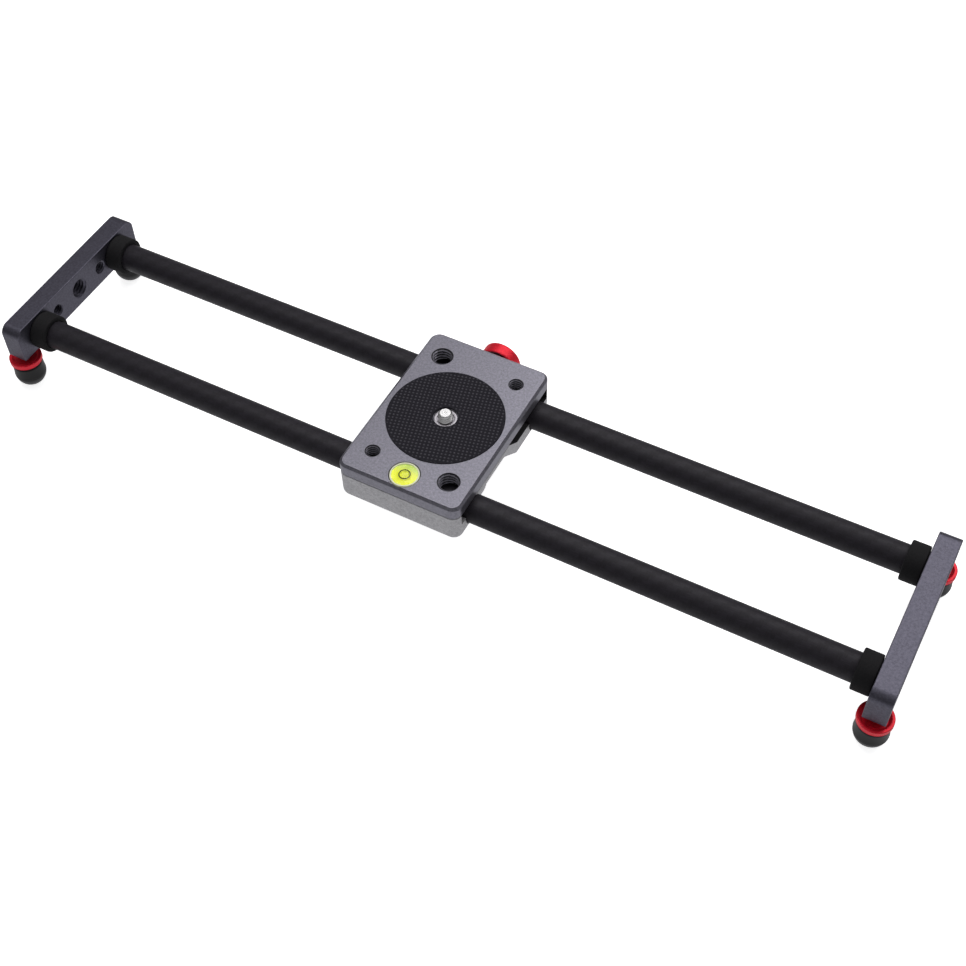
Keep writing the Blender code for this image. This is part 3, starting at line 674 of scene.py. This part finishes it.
def make_rail_end(side, end, rail):
    """The plug bonded in the tube, and the countersunk socket screw that holds the end plate to it."""
    node = f"rail_plug_{rail}_{end}"
    half = extent(node).x / 2
    outer = extent(node).z / 2
    profile = rounded_line([(outer, half, 0.3 * MM), (outer, -half, 0.3 * MM), (2.15 * MM, -half, 0),
                            (2.15 * MM, half, 0)], 3, closed=True)
    stand_in(node, revolve(profile, 64), ALLOY, axis_matrix(middle(node), "X"))

    node = f"rail_screw_{rail}_{end}"
    long = extent(node).x
    head = extent(node).z / 2
    pitch, depth = METRIC_4
    stem = 1.9 * MM
    socket = 1.2 * MM
    profile = [(0, -1.45 * MM), (socket * 0.6, -1.35 * MM), (socket, -1.2 * MM), (socket, -0.1 * MM),
               (socket * 1.1, 0)]
    profile += rounded_line([(socket * 1.1, 0, 0), (head, 0, 0.15 * MM), (head - 0.1 * MM, -0.3 * MM, 0),
                             (stem, -2.0 * MM, 0.2 * MM), (stem, -2.6 * MM, 0)], 3)[1:]
    turns = 9
    for turn in range(turns):
        start = -2.8 * MM - turn * pitch
        profile += [(stem - depth, start), (stem - depth, start - 0.1 * MM), (stem, start - 0.35 * MM),
                    (stem, start - 0.45 * MM)]
    profile += [(stem - depth, -long + 0.3 * MM), (stem - depth - 0.3 * MM, -long), (0, -long)]
    low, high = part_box(node)
    face = high.x if side > 0 else low.x
    place = (face, middle(node).y, middle(node).z)
    stand_in(node, revolve(profile, 48, hexagon(socket)), BLACK_STEEL, axis_matrix(place, "X", side))


# ---- Levelling feet ----
def knurl(outer, count, depth, low, high):
    """A ripple of fine straight grooves on the outermost rings between two heights."""
    def reach(radius, height, angle):
        if radius < outer - 0.12 * MM or not low <= height <= high:
            return radius
        return radius - depth * (0.5 - 0.5 * math.cos(count * angle))
    return reach


def make_foot(end, rail):
    name = f"{rail}_{end}"
    node = "foot_wheel_" + name
    axis = middle(node)
    outer = extent(node).x / 2
    tall = extent(node).z
    bore = 2.1 * MM
    edge = 0.28 * MM
    lip = 1.25 * MM
    dish = 0.9 * MM
    corners = [(outer, 0, edge), (outer, -0.55 * tall, 0), (outer, -tall, edge), (bore, -tall, 0),
               (bore, -dish, 0.1 * MM), (outer - lip - 0.9 * MM, -dish, 0.5 * MM), (outer - lip, 0, 0.2 * MM)]
    profile = rounded_line(corners, 4, closed=True)
    grip = knurl(outer, 60, 0.10 * MM, -tall + edge - 0.01 * MM, -edge + 0.01 * MM)
    place = (axis.x, axis.y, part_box(node)[1].z)
    stand_in(node, revolve(profile, 360, grip), RED, axis_matrix(place), 28)

    node = "foot_stud_" + name
    low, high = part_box(node)
    pitch, depth = METRIC_4
    radius = extent(node).x / 2

    def reach(height, phase):
        chamfer = radius + 0.05 * MM - max(0.5 * MM - height, height - (high.z - low.z) + 0.5 * MM, 0)
        return min(radius - depth + depth * ridge(phase), chamfer)

    mesh = helical(0, high.z - low.z, pitch, reach, 32, 8)
    stand_in(node, mesh, SATIN_STEEL, axis_matrix((axis.x, axis.y, low.z)), 30)

    node = "foot_rubber_" + name
    low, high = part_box(node)
    radius = extent(node).x / 2
    tall = high.z - low.z
    belly = tall - 6.4 * MM
    sole = 2.6 * MM
    profile = [(0, 0.12 * MM), (sole - 0.7 * MM, 0.12 * MM), (sole - 0.5 * MM, 0), (sole, 0)]
    steps = 22
    last = math.acos((sole + 0.3 * MM) / radius)
    squat = (belly - 0.05 * MM) / math.sin(last)
    profile += [(radius * math.cos(last * i / steps), belly - squat * math.sin(last * i / steps))
                for i in range(steps, 0, -1)]
    seam = 0.08 * MM
    profile += [(radius - seam, belly - 0.25 * MM), (radius, belly), (radius - seam, belly + 0.25 * MM)]
    profile += rounded_line([(radius - seam, belly + 0.25 * MM, 0),
                             (radius - 0.35 * MM, tall - 1.3 * MM, 1.2 * MM),
                             (radius - 1.0 * MM, tall, 0.7 * MM), (2.1 * MM, tall, 0)], 6)[1:]
    profile += [(2.1 * MM, 5.6 * MM), (0, 5.6 * MM)]
    stand_in(node, revolve(profile, 96), FOOT_RUBBER, axis_matrix((axis.x, axis.y, low.z)), 40)


# ---- Carriage ----
def rounded_rectangle(half_x, half_y, radius, inset):
    x = half_x - inset
    y = half_y - inset
    turn = radius - inset
    return rounded_line([(x, -y, turn), (x, y, turn), (-x, y, turn), (-x, -y, turn)], 12, closed=True)


def bordered(half_x, half_y, edge):
    """A body with round corners, whose rim follows (inset, height) points."""
    return loft([[(x, y, z) for x, y in rounded_rectangle(half_x, half_y, CORNER_ROUND, inset)]
                 for inset, z in edge])


def roller_places():
    for _, end in SIDES:
        for rail in RAILS:
            yield middle(f"roller_bolt_{rail}_{end}") - CARRIAGE


def deck_holes():
    """Place, radius and thread of the four threaded holes in the deck."""
    for x in (-DECK_THREAD_X, DECK_THREAD_X):
        for y in (-DECK_THREAD_Y, DECK_THREAD_Y):
            radius, thread = (HOLE_1_4, UNC_1_4) if x * y > 0 else (HOLE_3_8, UNC_3_8)
            yield x, y, radius, thread


def in_groove(face):
    """Whether a face of the deck lies in the deeper half of a hole's thread, which is painted with shade."""
    for x, y, radius, thread in deck_holes():
        out = math.hypot(face.center.x - x, face.center.y - y)
        if abs(face.normal.z) < 0.98 and radius - 0.55 * thread[1] < out < radius + 0.05 * MM:
            return True
    return False


def make_deck():
    """The top plate: chamfered rim, four threaded holes, pad recess, level pocket, screw bore."""
    size = extent("carriage_deck") / 2
    thick = DECK_TOP - DECK_BOTTOM
    edge = rounded_line([(2 * MM, -thick, 0), (0, -thick, 0.3 * MM), (0, -DECK_BEVEL, 0.35 * MM),
                         (DECK_BEVEL, 0, 0.35 * MM), (2 * MM, 0, 0)], 4)[1:-1]
    mesh = bordered(size.x, size.y, edge)
    cutters = []
    for x, y, radius, thread in deck_holes():
        cutters.append(moved(thread_cutter(radius, thread, -thick, 0), (x, y, 0)))
    pad = extent("anti_slip_pad").x / 2
    pad_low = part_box("anti_slip_pad")[0].z - DECK_TOP
    keeper = extent("screw_retainer").x / 2
    keeper_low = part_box("screw_retainer")[0].z - DECK_TOP
    above = 1 * MM
    play = 0.1 * MM
    screw_bore = 3.3 * MM
    cutters.append(revolve([(0, above), (pad + 0.12 * MM, above), (pad + 0.12 * MM, pad_low - play),
                            (keeper + play, pad_low - play), (keeper + play, keeper_low - play),
                            (screw_bore, keeper_low - play), (screw_bore, -thick - above),
                            (0, -thick - above)], 160))
    level = middle("level_cup") - CARRIAGE
    radius = extent("level_cup").x / 2 + 0.36 * MM
    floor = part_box("level_cup")[0].z - DECK_TOP - 0.1 * MM
    cutters.append(moved(bar(radius, floor, above, 96), (level.x, level.y, 0)))
    for place in roller_places():
        cutters.append(moved(bar(2.1 * MM, -thick - above, -2.4 * MM, 32), (place.x, place.y, 0)))
    mesh = carved(mesh, joined(cutters))
    place = CARRIAGE + Vector((0, 0, DECK_TOP))
    deck = stand_in("carriage_deck", mesh, DECK_GREY, Matrix.Translation(place), 25, True)
    # The deeper half of each thread groove gets the painted shade
    deck.data.materials.append(THREAD_SHADE)
    for face in deck.data.polygons:
        face.material_index = 1 if in_groove(face) else 0


def channel_arc(first, last, steps):
    """Points round the front rail's channel, between two angles from its inner side."""
    return [(-RAIL_Y + CHANNEL_RADIUS * math.cos(first + (last - first) * i / steps),
             CHANNEL_RADIUS * math.sin(first + (last - first) * i / steps)) for i in range(steps + 1)]


def housing_section(bottom, top, wall):
    """Outline in YZ about the rail axis: outer walls, rail channels, and a thin web between two pods."""
    start = math.asin(POCKET_FLOOR / CHANNEL_RADIUS)
    trough = [(-y, z) for y, z in channel_arc(start, -math.pi - start, 28)]
    floor = POCKET_FLOOR
    inside = rounded_line([(3.1 * MM, top, 0), (10.0 * MM, floor, 1.2 * MM), (trough[0][0], floor, 0)], 6)
    outside = rounded_line([(trough[-1][0], floor, 0), (POCKET_WALL, floor, 0.5 * MM), (POCKET_WALL, top, 0),
                            (wall, top, 0)], 6)
    arch = rounded_line([(wall, bottom, 0), (12.4 * MM, bottom, 3.5 * MM), (-1.3 * MM, WEB_BOTTOM, 2.5 * MM),
                         (-3.8 * MM, WEB_BOTTOM, 2.5 * MM), (-11.6 * MM, bottom, 3.5 * MM),
                         (-wall, bottom, 0)], 8)
    right = inside[:-1] + trough + outside[1:]
    return right + arch + [(-y, z) for y, z in right[::-1]]


def end_web(top, side, far):
    """The solid web at one end of the housing's front side, from the rail's channel to the middle."""
    low = WEB_BOTTOM - 0.8 * MM
    near = END_NOTCH_Y[1] - 0.2 * MM
    outline = channel_arc(math.asin(top / CHANNEL_RADIUS), math.asin(low / CHANNEL_RADIUS), 12)
    outline += [(near, low), (near, top)]
    return loft([[(side * x, y, z) for y, z in outline] for x in (far, END_WEB_X)])


def block(low, high):
    """A plain box between two corners, for cutting."""
    return loft([[(low[0], low[1], z), (high[0], low[1], z), (high[0], high[1], z), (low[0], high[1], z)]
                 for z in (low[2], high[2])])


def in_pocket(face, half_long):
    """Whether a face of the housing lines a roller pocket or the inner side of a rail's channel, which are
    painted with shade.
    """
    x, y, _ = face.center
    front_end = y < 0 and abs(face.normal.x) > 0.7
    inside = abs(x) < half_long - 0.25 * MM and abs(y) > 3.2 * MM and -RAIL_Y < y < POCKET_WALL + 0.05 * MM
    return inside and face.normal.z > -0.1 and not front_end


def make_housing():
    low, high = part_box("carriage_housing")
    half = (high - low) / 2
    bottom = low.z - RAIL_Z
    top = high.z - RAIL_Z
    beyond = 1 * MM
    outline = housing_section(bottom + 0.01 * MM, top, half.y + beyond)
    mesh = loft([[(x, y, z) for y, z in outline] for x in (half.x + beyond, -half.x - beyond)])
    for side in (-1, 1):
        mesh = carved(mesh, end_web(top, side, half.x + 1.5 * beyond), "UNION")
    front, back = END_NOTCH_Y
    notches = [block(*sorted(((END_WEB_X * side, front, bottom - beyond),
                              ((half.x + 2 * beyond) * side, back, WEB_BOTTOM)))) for side in (-1, 1)]
    mesh = carved(mesh, joined(notches))
    edge = rounded_line([(4 * MM, bottom, 0), (0, bottom, HOUSING_ROUND), (0, top - 0.25 * MM, 0),
                         (0.25 * MM, top, 0), (0.25 * MM, top + 2 * MM, 0)], 9)[1:]
    mesh = carved(mesh, bordered(half.x, half.y, edge), "INTERSECT")
    mesh = bevelled(mesh, 0.16 * MM, 50)
    cutters = [bar(extent("camera_screw").x / 2 + 0.5 * MM, bottom, top + beyond, 64)]
    for place in roller_places():
        hole = revolve([(0, 3 * MM), (2.1 * MM, 3 * MM), (2.1 * MM, bottom + 2.8 * MM),
                        (3.8 * MM, bottom + 2.8 * MM), (3.8 * MM, bottom + 0.25 * MM),
                        (4.3 * MM, bottom - 0.25 * MM), (0, bottom - 0.25 * MM)], 48)
        cutters.append(moved(hole, (place.x, place.y, 0)))
    outside = half.y + beyond
    step = 37.3 * MM
    shoe_end = 27.2 * MM
    bush_bore = 3.9 * MM
    shoe_bore = 2.8 * MM
    lock = revolve([(0, outside), (bush_bore, outside), (bush_bore, step), (shoe_bore, step),
                    (shoe_bore, shoe_end), (0, shoe_end)], 48)
    cutters.append(moved(lock, along="Y"))
    mesh = carved(mesh, joined(cutters))
    place = CARRIAGE + Vector((0, 0, RAIL_Z))
    housing = stand_in("carriage_housing", mesh, HOUSING_GREY, Matrix.Translation(place), 25, True)
    # Faces inside the pockets get the painted shade
    housing.data.materials.append(POCKET_SHADE)
    for face in housing.data.polygons:
        face.material_index = 1 if in_pocket(face, half.x) else 0


def make_pad():
    """The rubber disc, with rows of small round dots on a turned square grid."""
    low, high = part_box("anti_slip_pad")
    outer = (high.x - low.x) / 2
    inner = 5.1 * MM
    base = low.z - high.z
    spacing = DOT_PITCH / 6
    reach = math.ceil(outer / spacing)
    turn = Matrix.Rotation(DOT_TURN, 2)
    rim = 0.25 * MM
    points = []
    for i in range(-reach, reach + 1):
        for j in range(-reach, reach + 1):
            point = turn @ Vector((i * spacing, j * spacing))
            if inner + rim < point.length < outer - rim:
                points.append(point)
    edges = []
    for radius, count in ((outer, 360), (inner, 96)):
        start = len(points)
        points += [Vector(point[:2]) for point in circle(radius, 0, count)]
        edges += [(start + k, start + (k + 1) % count) for k in range(count)]
    places, _, faces, *_ = delaunay_2d_cdt(points, edges, [], 0, 1e-7)

    def height(point):
        along = turn.transposed() @ point
        wave = (math.cos(TAU * along.x / DOT_PITCH) + math.cos(TAU * along.y / DOT_PITCH)) / 2
        room = min(point.length - inner, outer - point.length) / (0.9 * MM)
        return DOT_TALL * (max((wave - 0.15) / 0.85, 0.0) ** 0.7 * min(max(room, 0.0), 1.0) - 1)

    shape = bmesh.new()
    verts = [shape.verts.new((point.x, point.y, height(point))) for point in places]
    for face in faces:
        centre = sum((places[k] for k in face), Vector((0, 0))) / len(face)
        if centre.length > inner:
            shape.faces.new([verts[k] for k in face])
    for vert in [vert for vert in shape.verts if not vert.link_faces]:
        shape.verts.remove(vert)
    rims = [edge for edge in shape.edges if edge.is_boundary]
    wall = bmesh.ops.extrude_edge_only(shape, edges=rims)["geom"]
    for item in wall:
        if isinstance(item, bmesh.types.BMVert):
            item.co.z = base
    bottom = [item for item in wall if isinstance(item, bmesh.types.BMEdge) and item.is_boundary]
    bmesh.ops.triangle_fill(shape, edges=bottom, use_beauty=False)
    place = CARRIAGE + Vector((0, 0, high.z))
    stand_in("anti_slip_pad", to_mesh(shape), PAD_RUBBER, Matrix.Translation(place), 60)


def make_camera_screw():
    """Quarter-inch screw: thread, chamfered tip with a centre dimple, groove, and a slotted head."""
    low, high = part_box("camera_screw")
    tall = high.z - low.z
    radius = 3.05 * MM
    head = extent("camera_screw").x / 2
    head_top = DECK_BOTTOM - 0.3 * MM - high.z
    groove_top = DECK_TOP - 0.8 * MM - high.z
    groove_low = DECK_TOP - 2.0 * MM - high.z
    chamfer = 0.85 * MM
    pitch, depth = UNC_1_4

    def reach(level, phase):
        thread = radius - depth + depth * ridge(phase)
        thread = min(thread, radius - chamfer - level * 1.2)
        return min(thread, 2.4 * MM) if groove_low < level < groove_top else thread

    stem = helical(head_top - 1 * MM, 0, pitch, reach, 96, 24, (0.55 * MM, 0.45 * MM))
    edge = 0.3 * MM
    rim = rounded_line([(0, head_top, 0), (head, head_top, edge), (head, -tall, edge), (0, -tall, 0)], 4)
    disc = revolve(rim, 96)
    mesh = carved(stem, disc, "UNION")
    mesh = carved(mesh, block((-7 * MM, -0.7 * MM, -tall - 0.8 * MM), (7 * MM, 0.7 * MM, 0.8 * MM - tall)))
    place = CARRIAGE + Vector((0, 0, high.z))
    stand_in("camera_screw", mesh, STEEL, Matrix.Translation(place), 30, True)

    low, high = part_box("screw_retainer")
    outer = (high.x - low.x) / 2
    thick = high.z - low.z
    profile = rounded_line([(outer, 0, 0.15 * MM), (outer, -thick, 0), (2.7 * MM, -thick, 0),
                            (2.7 * MM, -thick + 0.5 * MM, 0), (3.5 * MM, -thick + 0.5 * MM, 0),
                            (3.5 * MM, 0, 0.15 * MM)], 3, closed=True)
    place = CARRIAGE + Vector((0, 0, high.z))
    stand_in("screw_retainer", revolve(profile, 96), SATIN_STEEL, Matrix.Translation(place))


def make_level():
    """Round bubble level: milky cup, yellow spirit with a bubble, printed ring, and a domed lens."""
    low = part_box("level_cup")[0]
    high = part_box("level_lens")[1]
    outer = extent("level_cup").x / 2 - 0.08 * MM
    tall = high.z - low.z
    wall = outer - 0.62 * MM
    place = Matrix.Translation((middle("level_cup").x, middle("level_cup").y, high.z))
    lip = -0.1 * MM
    cup = rounded_line([(0, -tall, 0), (outer, -tall, 0.3 * MM), (outer, lip, 0.18 * MM),
                        (wall, lip, 0.12 * MM), (wall, -tall + 0.7 * MM, 0), (0, -tall + 0.7 * MM, 0)], 4)
    stand_in("level_cup", revolve(cup, 96), MILKY, place)
    fill = wall - 0.08 * MM
    surface = -0.85 * MM
    liquid = rounded_line([(0, surface, 0), (fill, surface, 0.1 * MM), (fill, -tall + 0.8 * MM, 0.2 * MM),
                           (0, -tall + 0.8 * MM, 0)], 3)
    stand_in("level_liquid", revolve(liquid, 96), SPIRIT, place)
    quarter = [math.pi / 2 * k / 10 for k in range(11)]
    crown = [(fill * math.sin(a), -0.28 * MM + 0.28 * MM * math.cos(a)) for a in quarter]
    lens = [(0, -0.45 * MM), (fill, -0.45 * MM)] + crown[::-1]
    stand_in("level_lens", revolve(lens, 96), CLEAR, place)
    print_top = -0.08 * MM
    ring = rounded_line([(2.48 * MM, print_top, 0.02 * MM), (2.48 * MM, print_top - 0.08 * MM, 0.02 * MM),
                         (1.98 * MM, print_top - 0.08 * MM, 0.02 * MM), (1.98 * MM, print_top, 0.02 * MM)],
                        2, closed=True)
    piece("level_ring", revolve(ring, 96), OLIVE, "carriage", place)
    bubble = 1.35 * MM
    dome = [(bubble * math.sin(a), surface + 0.02 * MM + 0.26 * MM * math.cos(a)) for a in quarter]
    drop = Matrix.Translation((0.25 * MM, -0.1 * MM, 0))
    mesh = revolve(dome + [(0, surface + 0.02 * MM)], 48)
    piece("level_bubble", mesh, CLEAR, "carriage", place @ drop)


def make_rollers():
    """Ball bearings, seen as an outer race, a recessed shield and an inner race, and their bolts."""
    for _, end in SIDES:
        for rail in RAILS:
            node = f"roller_{rail}_{end}"
            outer = extent(node).x / 2
            half = extent(node).z / 2
            bore = 2.2 * MM
            sunk = half - 0.25 * MM
            races = [(4.55 * MM, half, 0), (4.5 * MM, sunk, 0), (3.25 * MM, sunk, 0), (3.2 * MM, half, 0)]
            corners = [(outer, half, 0.25 * MM), (outer, -half, 0.25 * MM)]
            corners += [(radius, -height, 0) for radius, height, _ in races]
            corners += [(bore, -half, 0.12 * MM), (bore, half, 0.12 * MM)]
            corners += races[::-1]
            profile = rounded_line(corners, 3, closed=True)
            stand_in(node, revolve(profile, 96), STEEL, Matrix.Translation(middle(node)))

            node = f"roller_bolt_{rail}_{end}"
            low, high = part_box(node)
            tall = high.z - low.z
            head = extent(node).x / 2
            stem = 1.9 * MM
            socket = 1.45 * MM
            head_tall = 2.2 * MM
            profile = [(0, 1.3 * MM), (socket, 1.2 * MM), (socket, 0.12 * MM), (socket * 1.08, 0)]
            profile += rounded_line([(socket * 1.08, 0, 0), (head, 0, 0.3 * MM), (head, head_tall, 0.05 * MM),
                                     (stem, head_tall, 0.15 * MM), (stem, tall, 0.3 * MM),
                                     (0, tall, 0)], 4)[1:]
            place = (middle(node).x, middle(node).y, low.z)
            stand_in(node, revolve(profile[::-1], 60, hexagon(socket)), BLACK_STEEL, axis_matrix(place))


def make_lock():
    """Red knob, its screw, the bush in the housing's wall and the shoe that presses the rail."""
    node = "lock_knob"
    low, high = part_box(node)
    axis = middle(node)
    outer = (high.x - low.x) / 2
    tall = high.y - low.y
    bore = 2.3 * MM
    edge = 0.45 * MM
    rows = 22
    grip_low = 0.45 * MM
    grip_high = tall - 0.55 * MM
    side = [(outer, grip_high - (grip_high - grip_low) * row / rows) for row in range(rows + 1)]
    face = rounded_line([(0, tall - 0.35 * MM, 0), (outer - 1.8 * MM, tall - 0.35 * MM, 0.3 * MM),
                         (outer - 1.5 * MM, tall, 0.15 * MM), (outer - edge * 0.4, tall, 0.25 * MM),
                         (outer, grip_high, 0)], 4)
    recess = 2.6 * MM
    back = rounded_line([(outer, grip_low, 0), (outer - 0.35 * MM, 0, 0.1 * MM),
                         (outer - 0.75 * MM, 0, 0.1 * MM), (outer - 0.9 * MM, recess, 0.2 * MM),
                         (bore, recess, 0)], 4)
    profile = face[:-1] + side + back[1:] + [(bore, tall - 0.9 * MM), (0, tall - 0.9 * MM)]
    ridges = 44

    def diamonds(radius, height, angle):
        if radius < outer - 1e-6:
            return radius
        lean = height / outer
        one = abs(math.sin(ridges / 2 * (angle + lean)))
        other = abs(math.sin(ridges / 2 * (angle - lean)))
        return radius - 0.14 * MM * (1 - min(one, other) ** 0.7)

    place = (axis.x, low.y, axis.z)
    knob = stand_in(node, revolve(profile, 352, diamonds), RED, axis_matrix(place, "Y"), 35)
    # Faces in the knob's hollow get the painted shade
    knob.data.materials.append(KNOB_RECESS_SHADE)
    for face in knob.data.polygons:
        in_recess = face.center.xy.length < outer - 0.8 * MM and 0.05 * MM < face.center.z < recess + 0.1 * MM
        face.material_index = 1 if in_recess else 0

    node = "lock_screw"
    low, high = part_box(node)
    pitch, depth = METRIC_4
    radius = extent(node).x / 2

    def reach(level, phase):
        return min(radius - depth + depth * ridge(phase), radius - 0.4 * MM + max(level, 0))

    mesh = helical(0, high.y - low.y, pitch, reach, 36, 8)
    stand_in(node, mesh, SATIN_STEEL, axis_matrix((axis.x, low.y, axis.z), "Y"), 30)

    node = "lock_bush"
    low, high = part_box(node)
    tall = high.y - low.y
    flange = extent(node).x / 2
    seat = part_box("carriage_housing")[1].y + 0.1 * MM - low.y
    body = 3.7 * MM
    bore = 2.35 * MM
    profile = rounded_line([(flange, tall, 0.3 * MM), (flange, seat, 0.1 * MM), (body, seat, 0),
                            (body, 0, 0.2 * MM), (bore, 0, 0), (bore, tall - 0.4 * MM, 0),
                            (bore + 0.4 * MM, tall, 0)], 4, closed=True)
    stand_in(node, revolve(profile, 72), ALLOY, axis_matrix((axis.x, low.y, axis.z), "Y"))

    node = "brake_shoe"
    low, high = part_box(node)
    radius = extent(node).x / 2
    profile = rounded_line([(0, high.y - low.y, 0), (radius, high.y - low.y, 0.3 * MM), (radius, 0, 0.2 * MM),
                            (0, 0, 0)], 4)
    stand_in(node, revolve(profile, 48), ACETAL, axis_matrix((axis.x, low.y, axis.z), "Y"))


# ---- Floor, light and camera ----
def make_floor():
    """A white floor and a white wall round it, which only the camera sees."""
    nodes = Nodes("floor_white")
    soft = nodes.noise(2, 2)
    white = nodes.ramp(soft, [(0.3, (0.93, 0.93, 0.93)), (0.7, (0.95, 0.95, 0.95))])
    nodes.set(Base_Color=white, Roughness=0.9, Specular_IOR_Level=0.1, Emission_Color=(1, 1, 1, 1),
              Emission_Strength=0.82)
    sweep = [(0, 0), (5.0, 0), (5.6, 0.4), (5.8, 6.0), (5.9, 6.0), (5.9, -0.1), (0, -0.1)]
    mesh = revolve(sweep, 64)
    mesh.materials.append(nodes.material)
    floor = bpy.data.objects.new("floor", mesh)
    bpy.context.scene.collection.objects.link(floor)
    floor.location.z = -0.2 * MM
    floor.visible_diffuse = False
    floor.visible_glossy = False
    floor.visible_transmission = False
    floor.visible_shadow = False


def make_light(name, place, target, size, power):
    data = bpy.data.lights.new(name, "AREA")
    data.shape = "RECTANGLE"
    data.size, data.size_y = size
    data.energy = power
    data.color = LIGHT_TINT
    light = bpy.data.objects.new(name, data)
    light.location = place
    light.rotation_euler = (Vector(target) - Vector(place)).to_track_quat("-Z", "Y").to_euler()
    bpy.context.scene.collection.objects.link(light)


def make_world():
    """Even studio light: dim from above the horizon, and paler from below, as off a white floor."""
    world = bpy.data.worlds.new("studio")
    world.use_nodes = True
    tree = world.node_tree
    background = tree.nodes["Background"]
    direction = tree.nodes.new("ShaderNodeTexCoord")
    split = tree.nodes.new("ShaderNodeSeparateXYZ")
    height = tree.nodes.new("ShaderNodeMath")
    height.operation = "MULTIPLY_ADD"
    height.inputs[1].default_value = 0.5
    height.inputs[2].default_value = 0.5
    sky = tree.nodes.new("ShaderNodeValToRGB")
    set_stops(sky, [((up + 1) / 2, (0.97 * level, 0.97 * level, level)) for up, level in SURROUNDINGS])
    tree.links.new(direction.outputs["Generated"], split.inputs[0])
    tree.links.new(split.outputs["Z"], height.inputs[0])
    tree.links.new(height.outputs[0], sky.inputs[0])
    tree.links.new(sky.outputs["Color"], background.inputs["Color"])
    bpy.context.scene.world = world


def make_camera():
    data = bpy.data.cameras.new("camera")
    data.lens = CAMERA_LENS
    data.sensor_width = 36
    azimuth = math.radians(CAMERA_AZIMUTH)
    elevation = math.radians(CAMERA_ELEVATION)
    back = Vector((math.sin(azimuth) * math.cos(elevation), -math.cos(azimuth) * math.cos(elevation),
                   math.sin(elevation)))
    camera = bpy.data.objects.new("camera", data)
    look = (-back).to_track_quat("-Z", "Y").to_matrix().to_4x4()
    roll = Matrix.Rotation(math.radians(CAMERA_ROLL), 4, "Z")
    camera.matrix_world = Matrix.Translation(CAMERA_TARGET + back * CAMERA_DISTANCE) @ look @ roll
    bpy.context.scene.collection.objects.link(camera)
    bpy.context.scene.camera = camera
    bpy.context.scene.view_settings.view_transform = "Standard"


def build():
    for side, end in SIDES:
        make_end_plate(side, end)
        for rail in RAILS:
            make_bumper(side, end, rail)
            make_rail_end(side, end, rail)
            make_foot(end, rail)
    for rail in RAILS:
        make_rail(rail)
    make_deck()
    make_housing()
    make_pad()
    make_camera_screw()
    make_level()
    make_rollers()
    make_lock()
    make_floor()
    make_world()
    make_light("back_softbox", (0.28, 0.84, 1.10), (0.20, 0.20, 0.0), (1.5, 0.8), 7.0)
    make_light("top_softbox", (-0.36, 0.10, 1.15), (-0.02, 0.0, 0.04), (0.5, 0.5), 3.0)
    make_camera()


build()
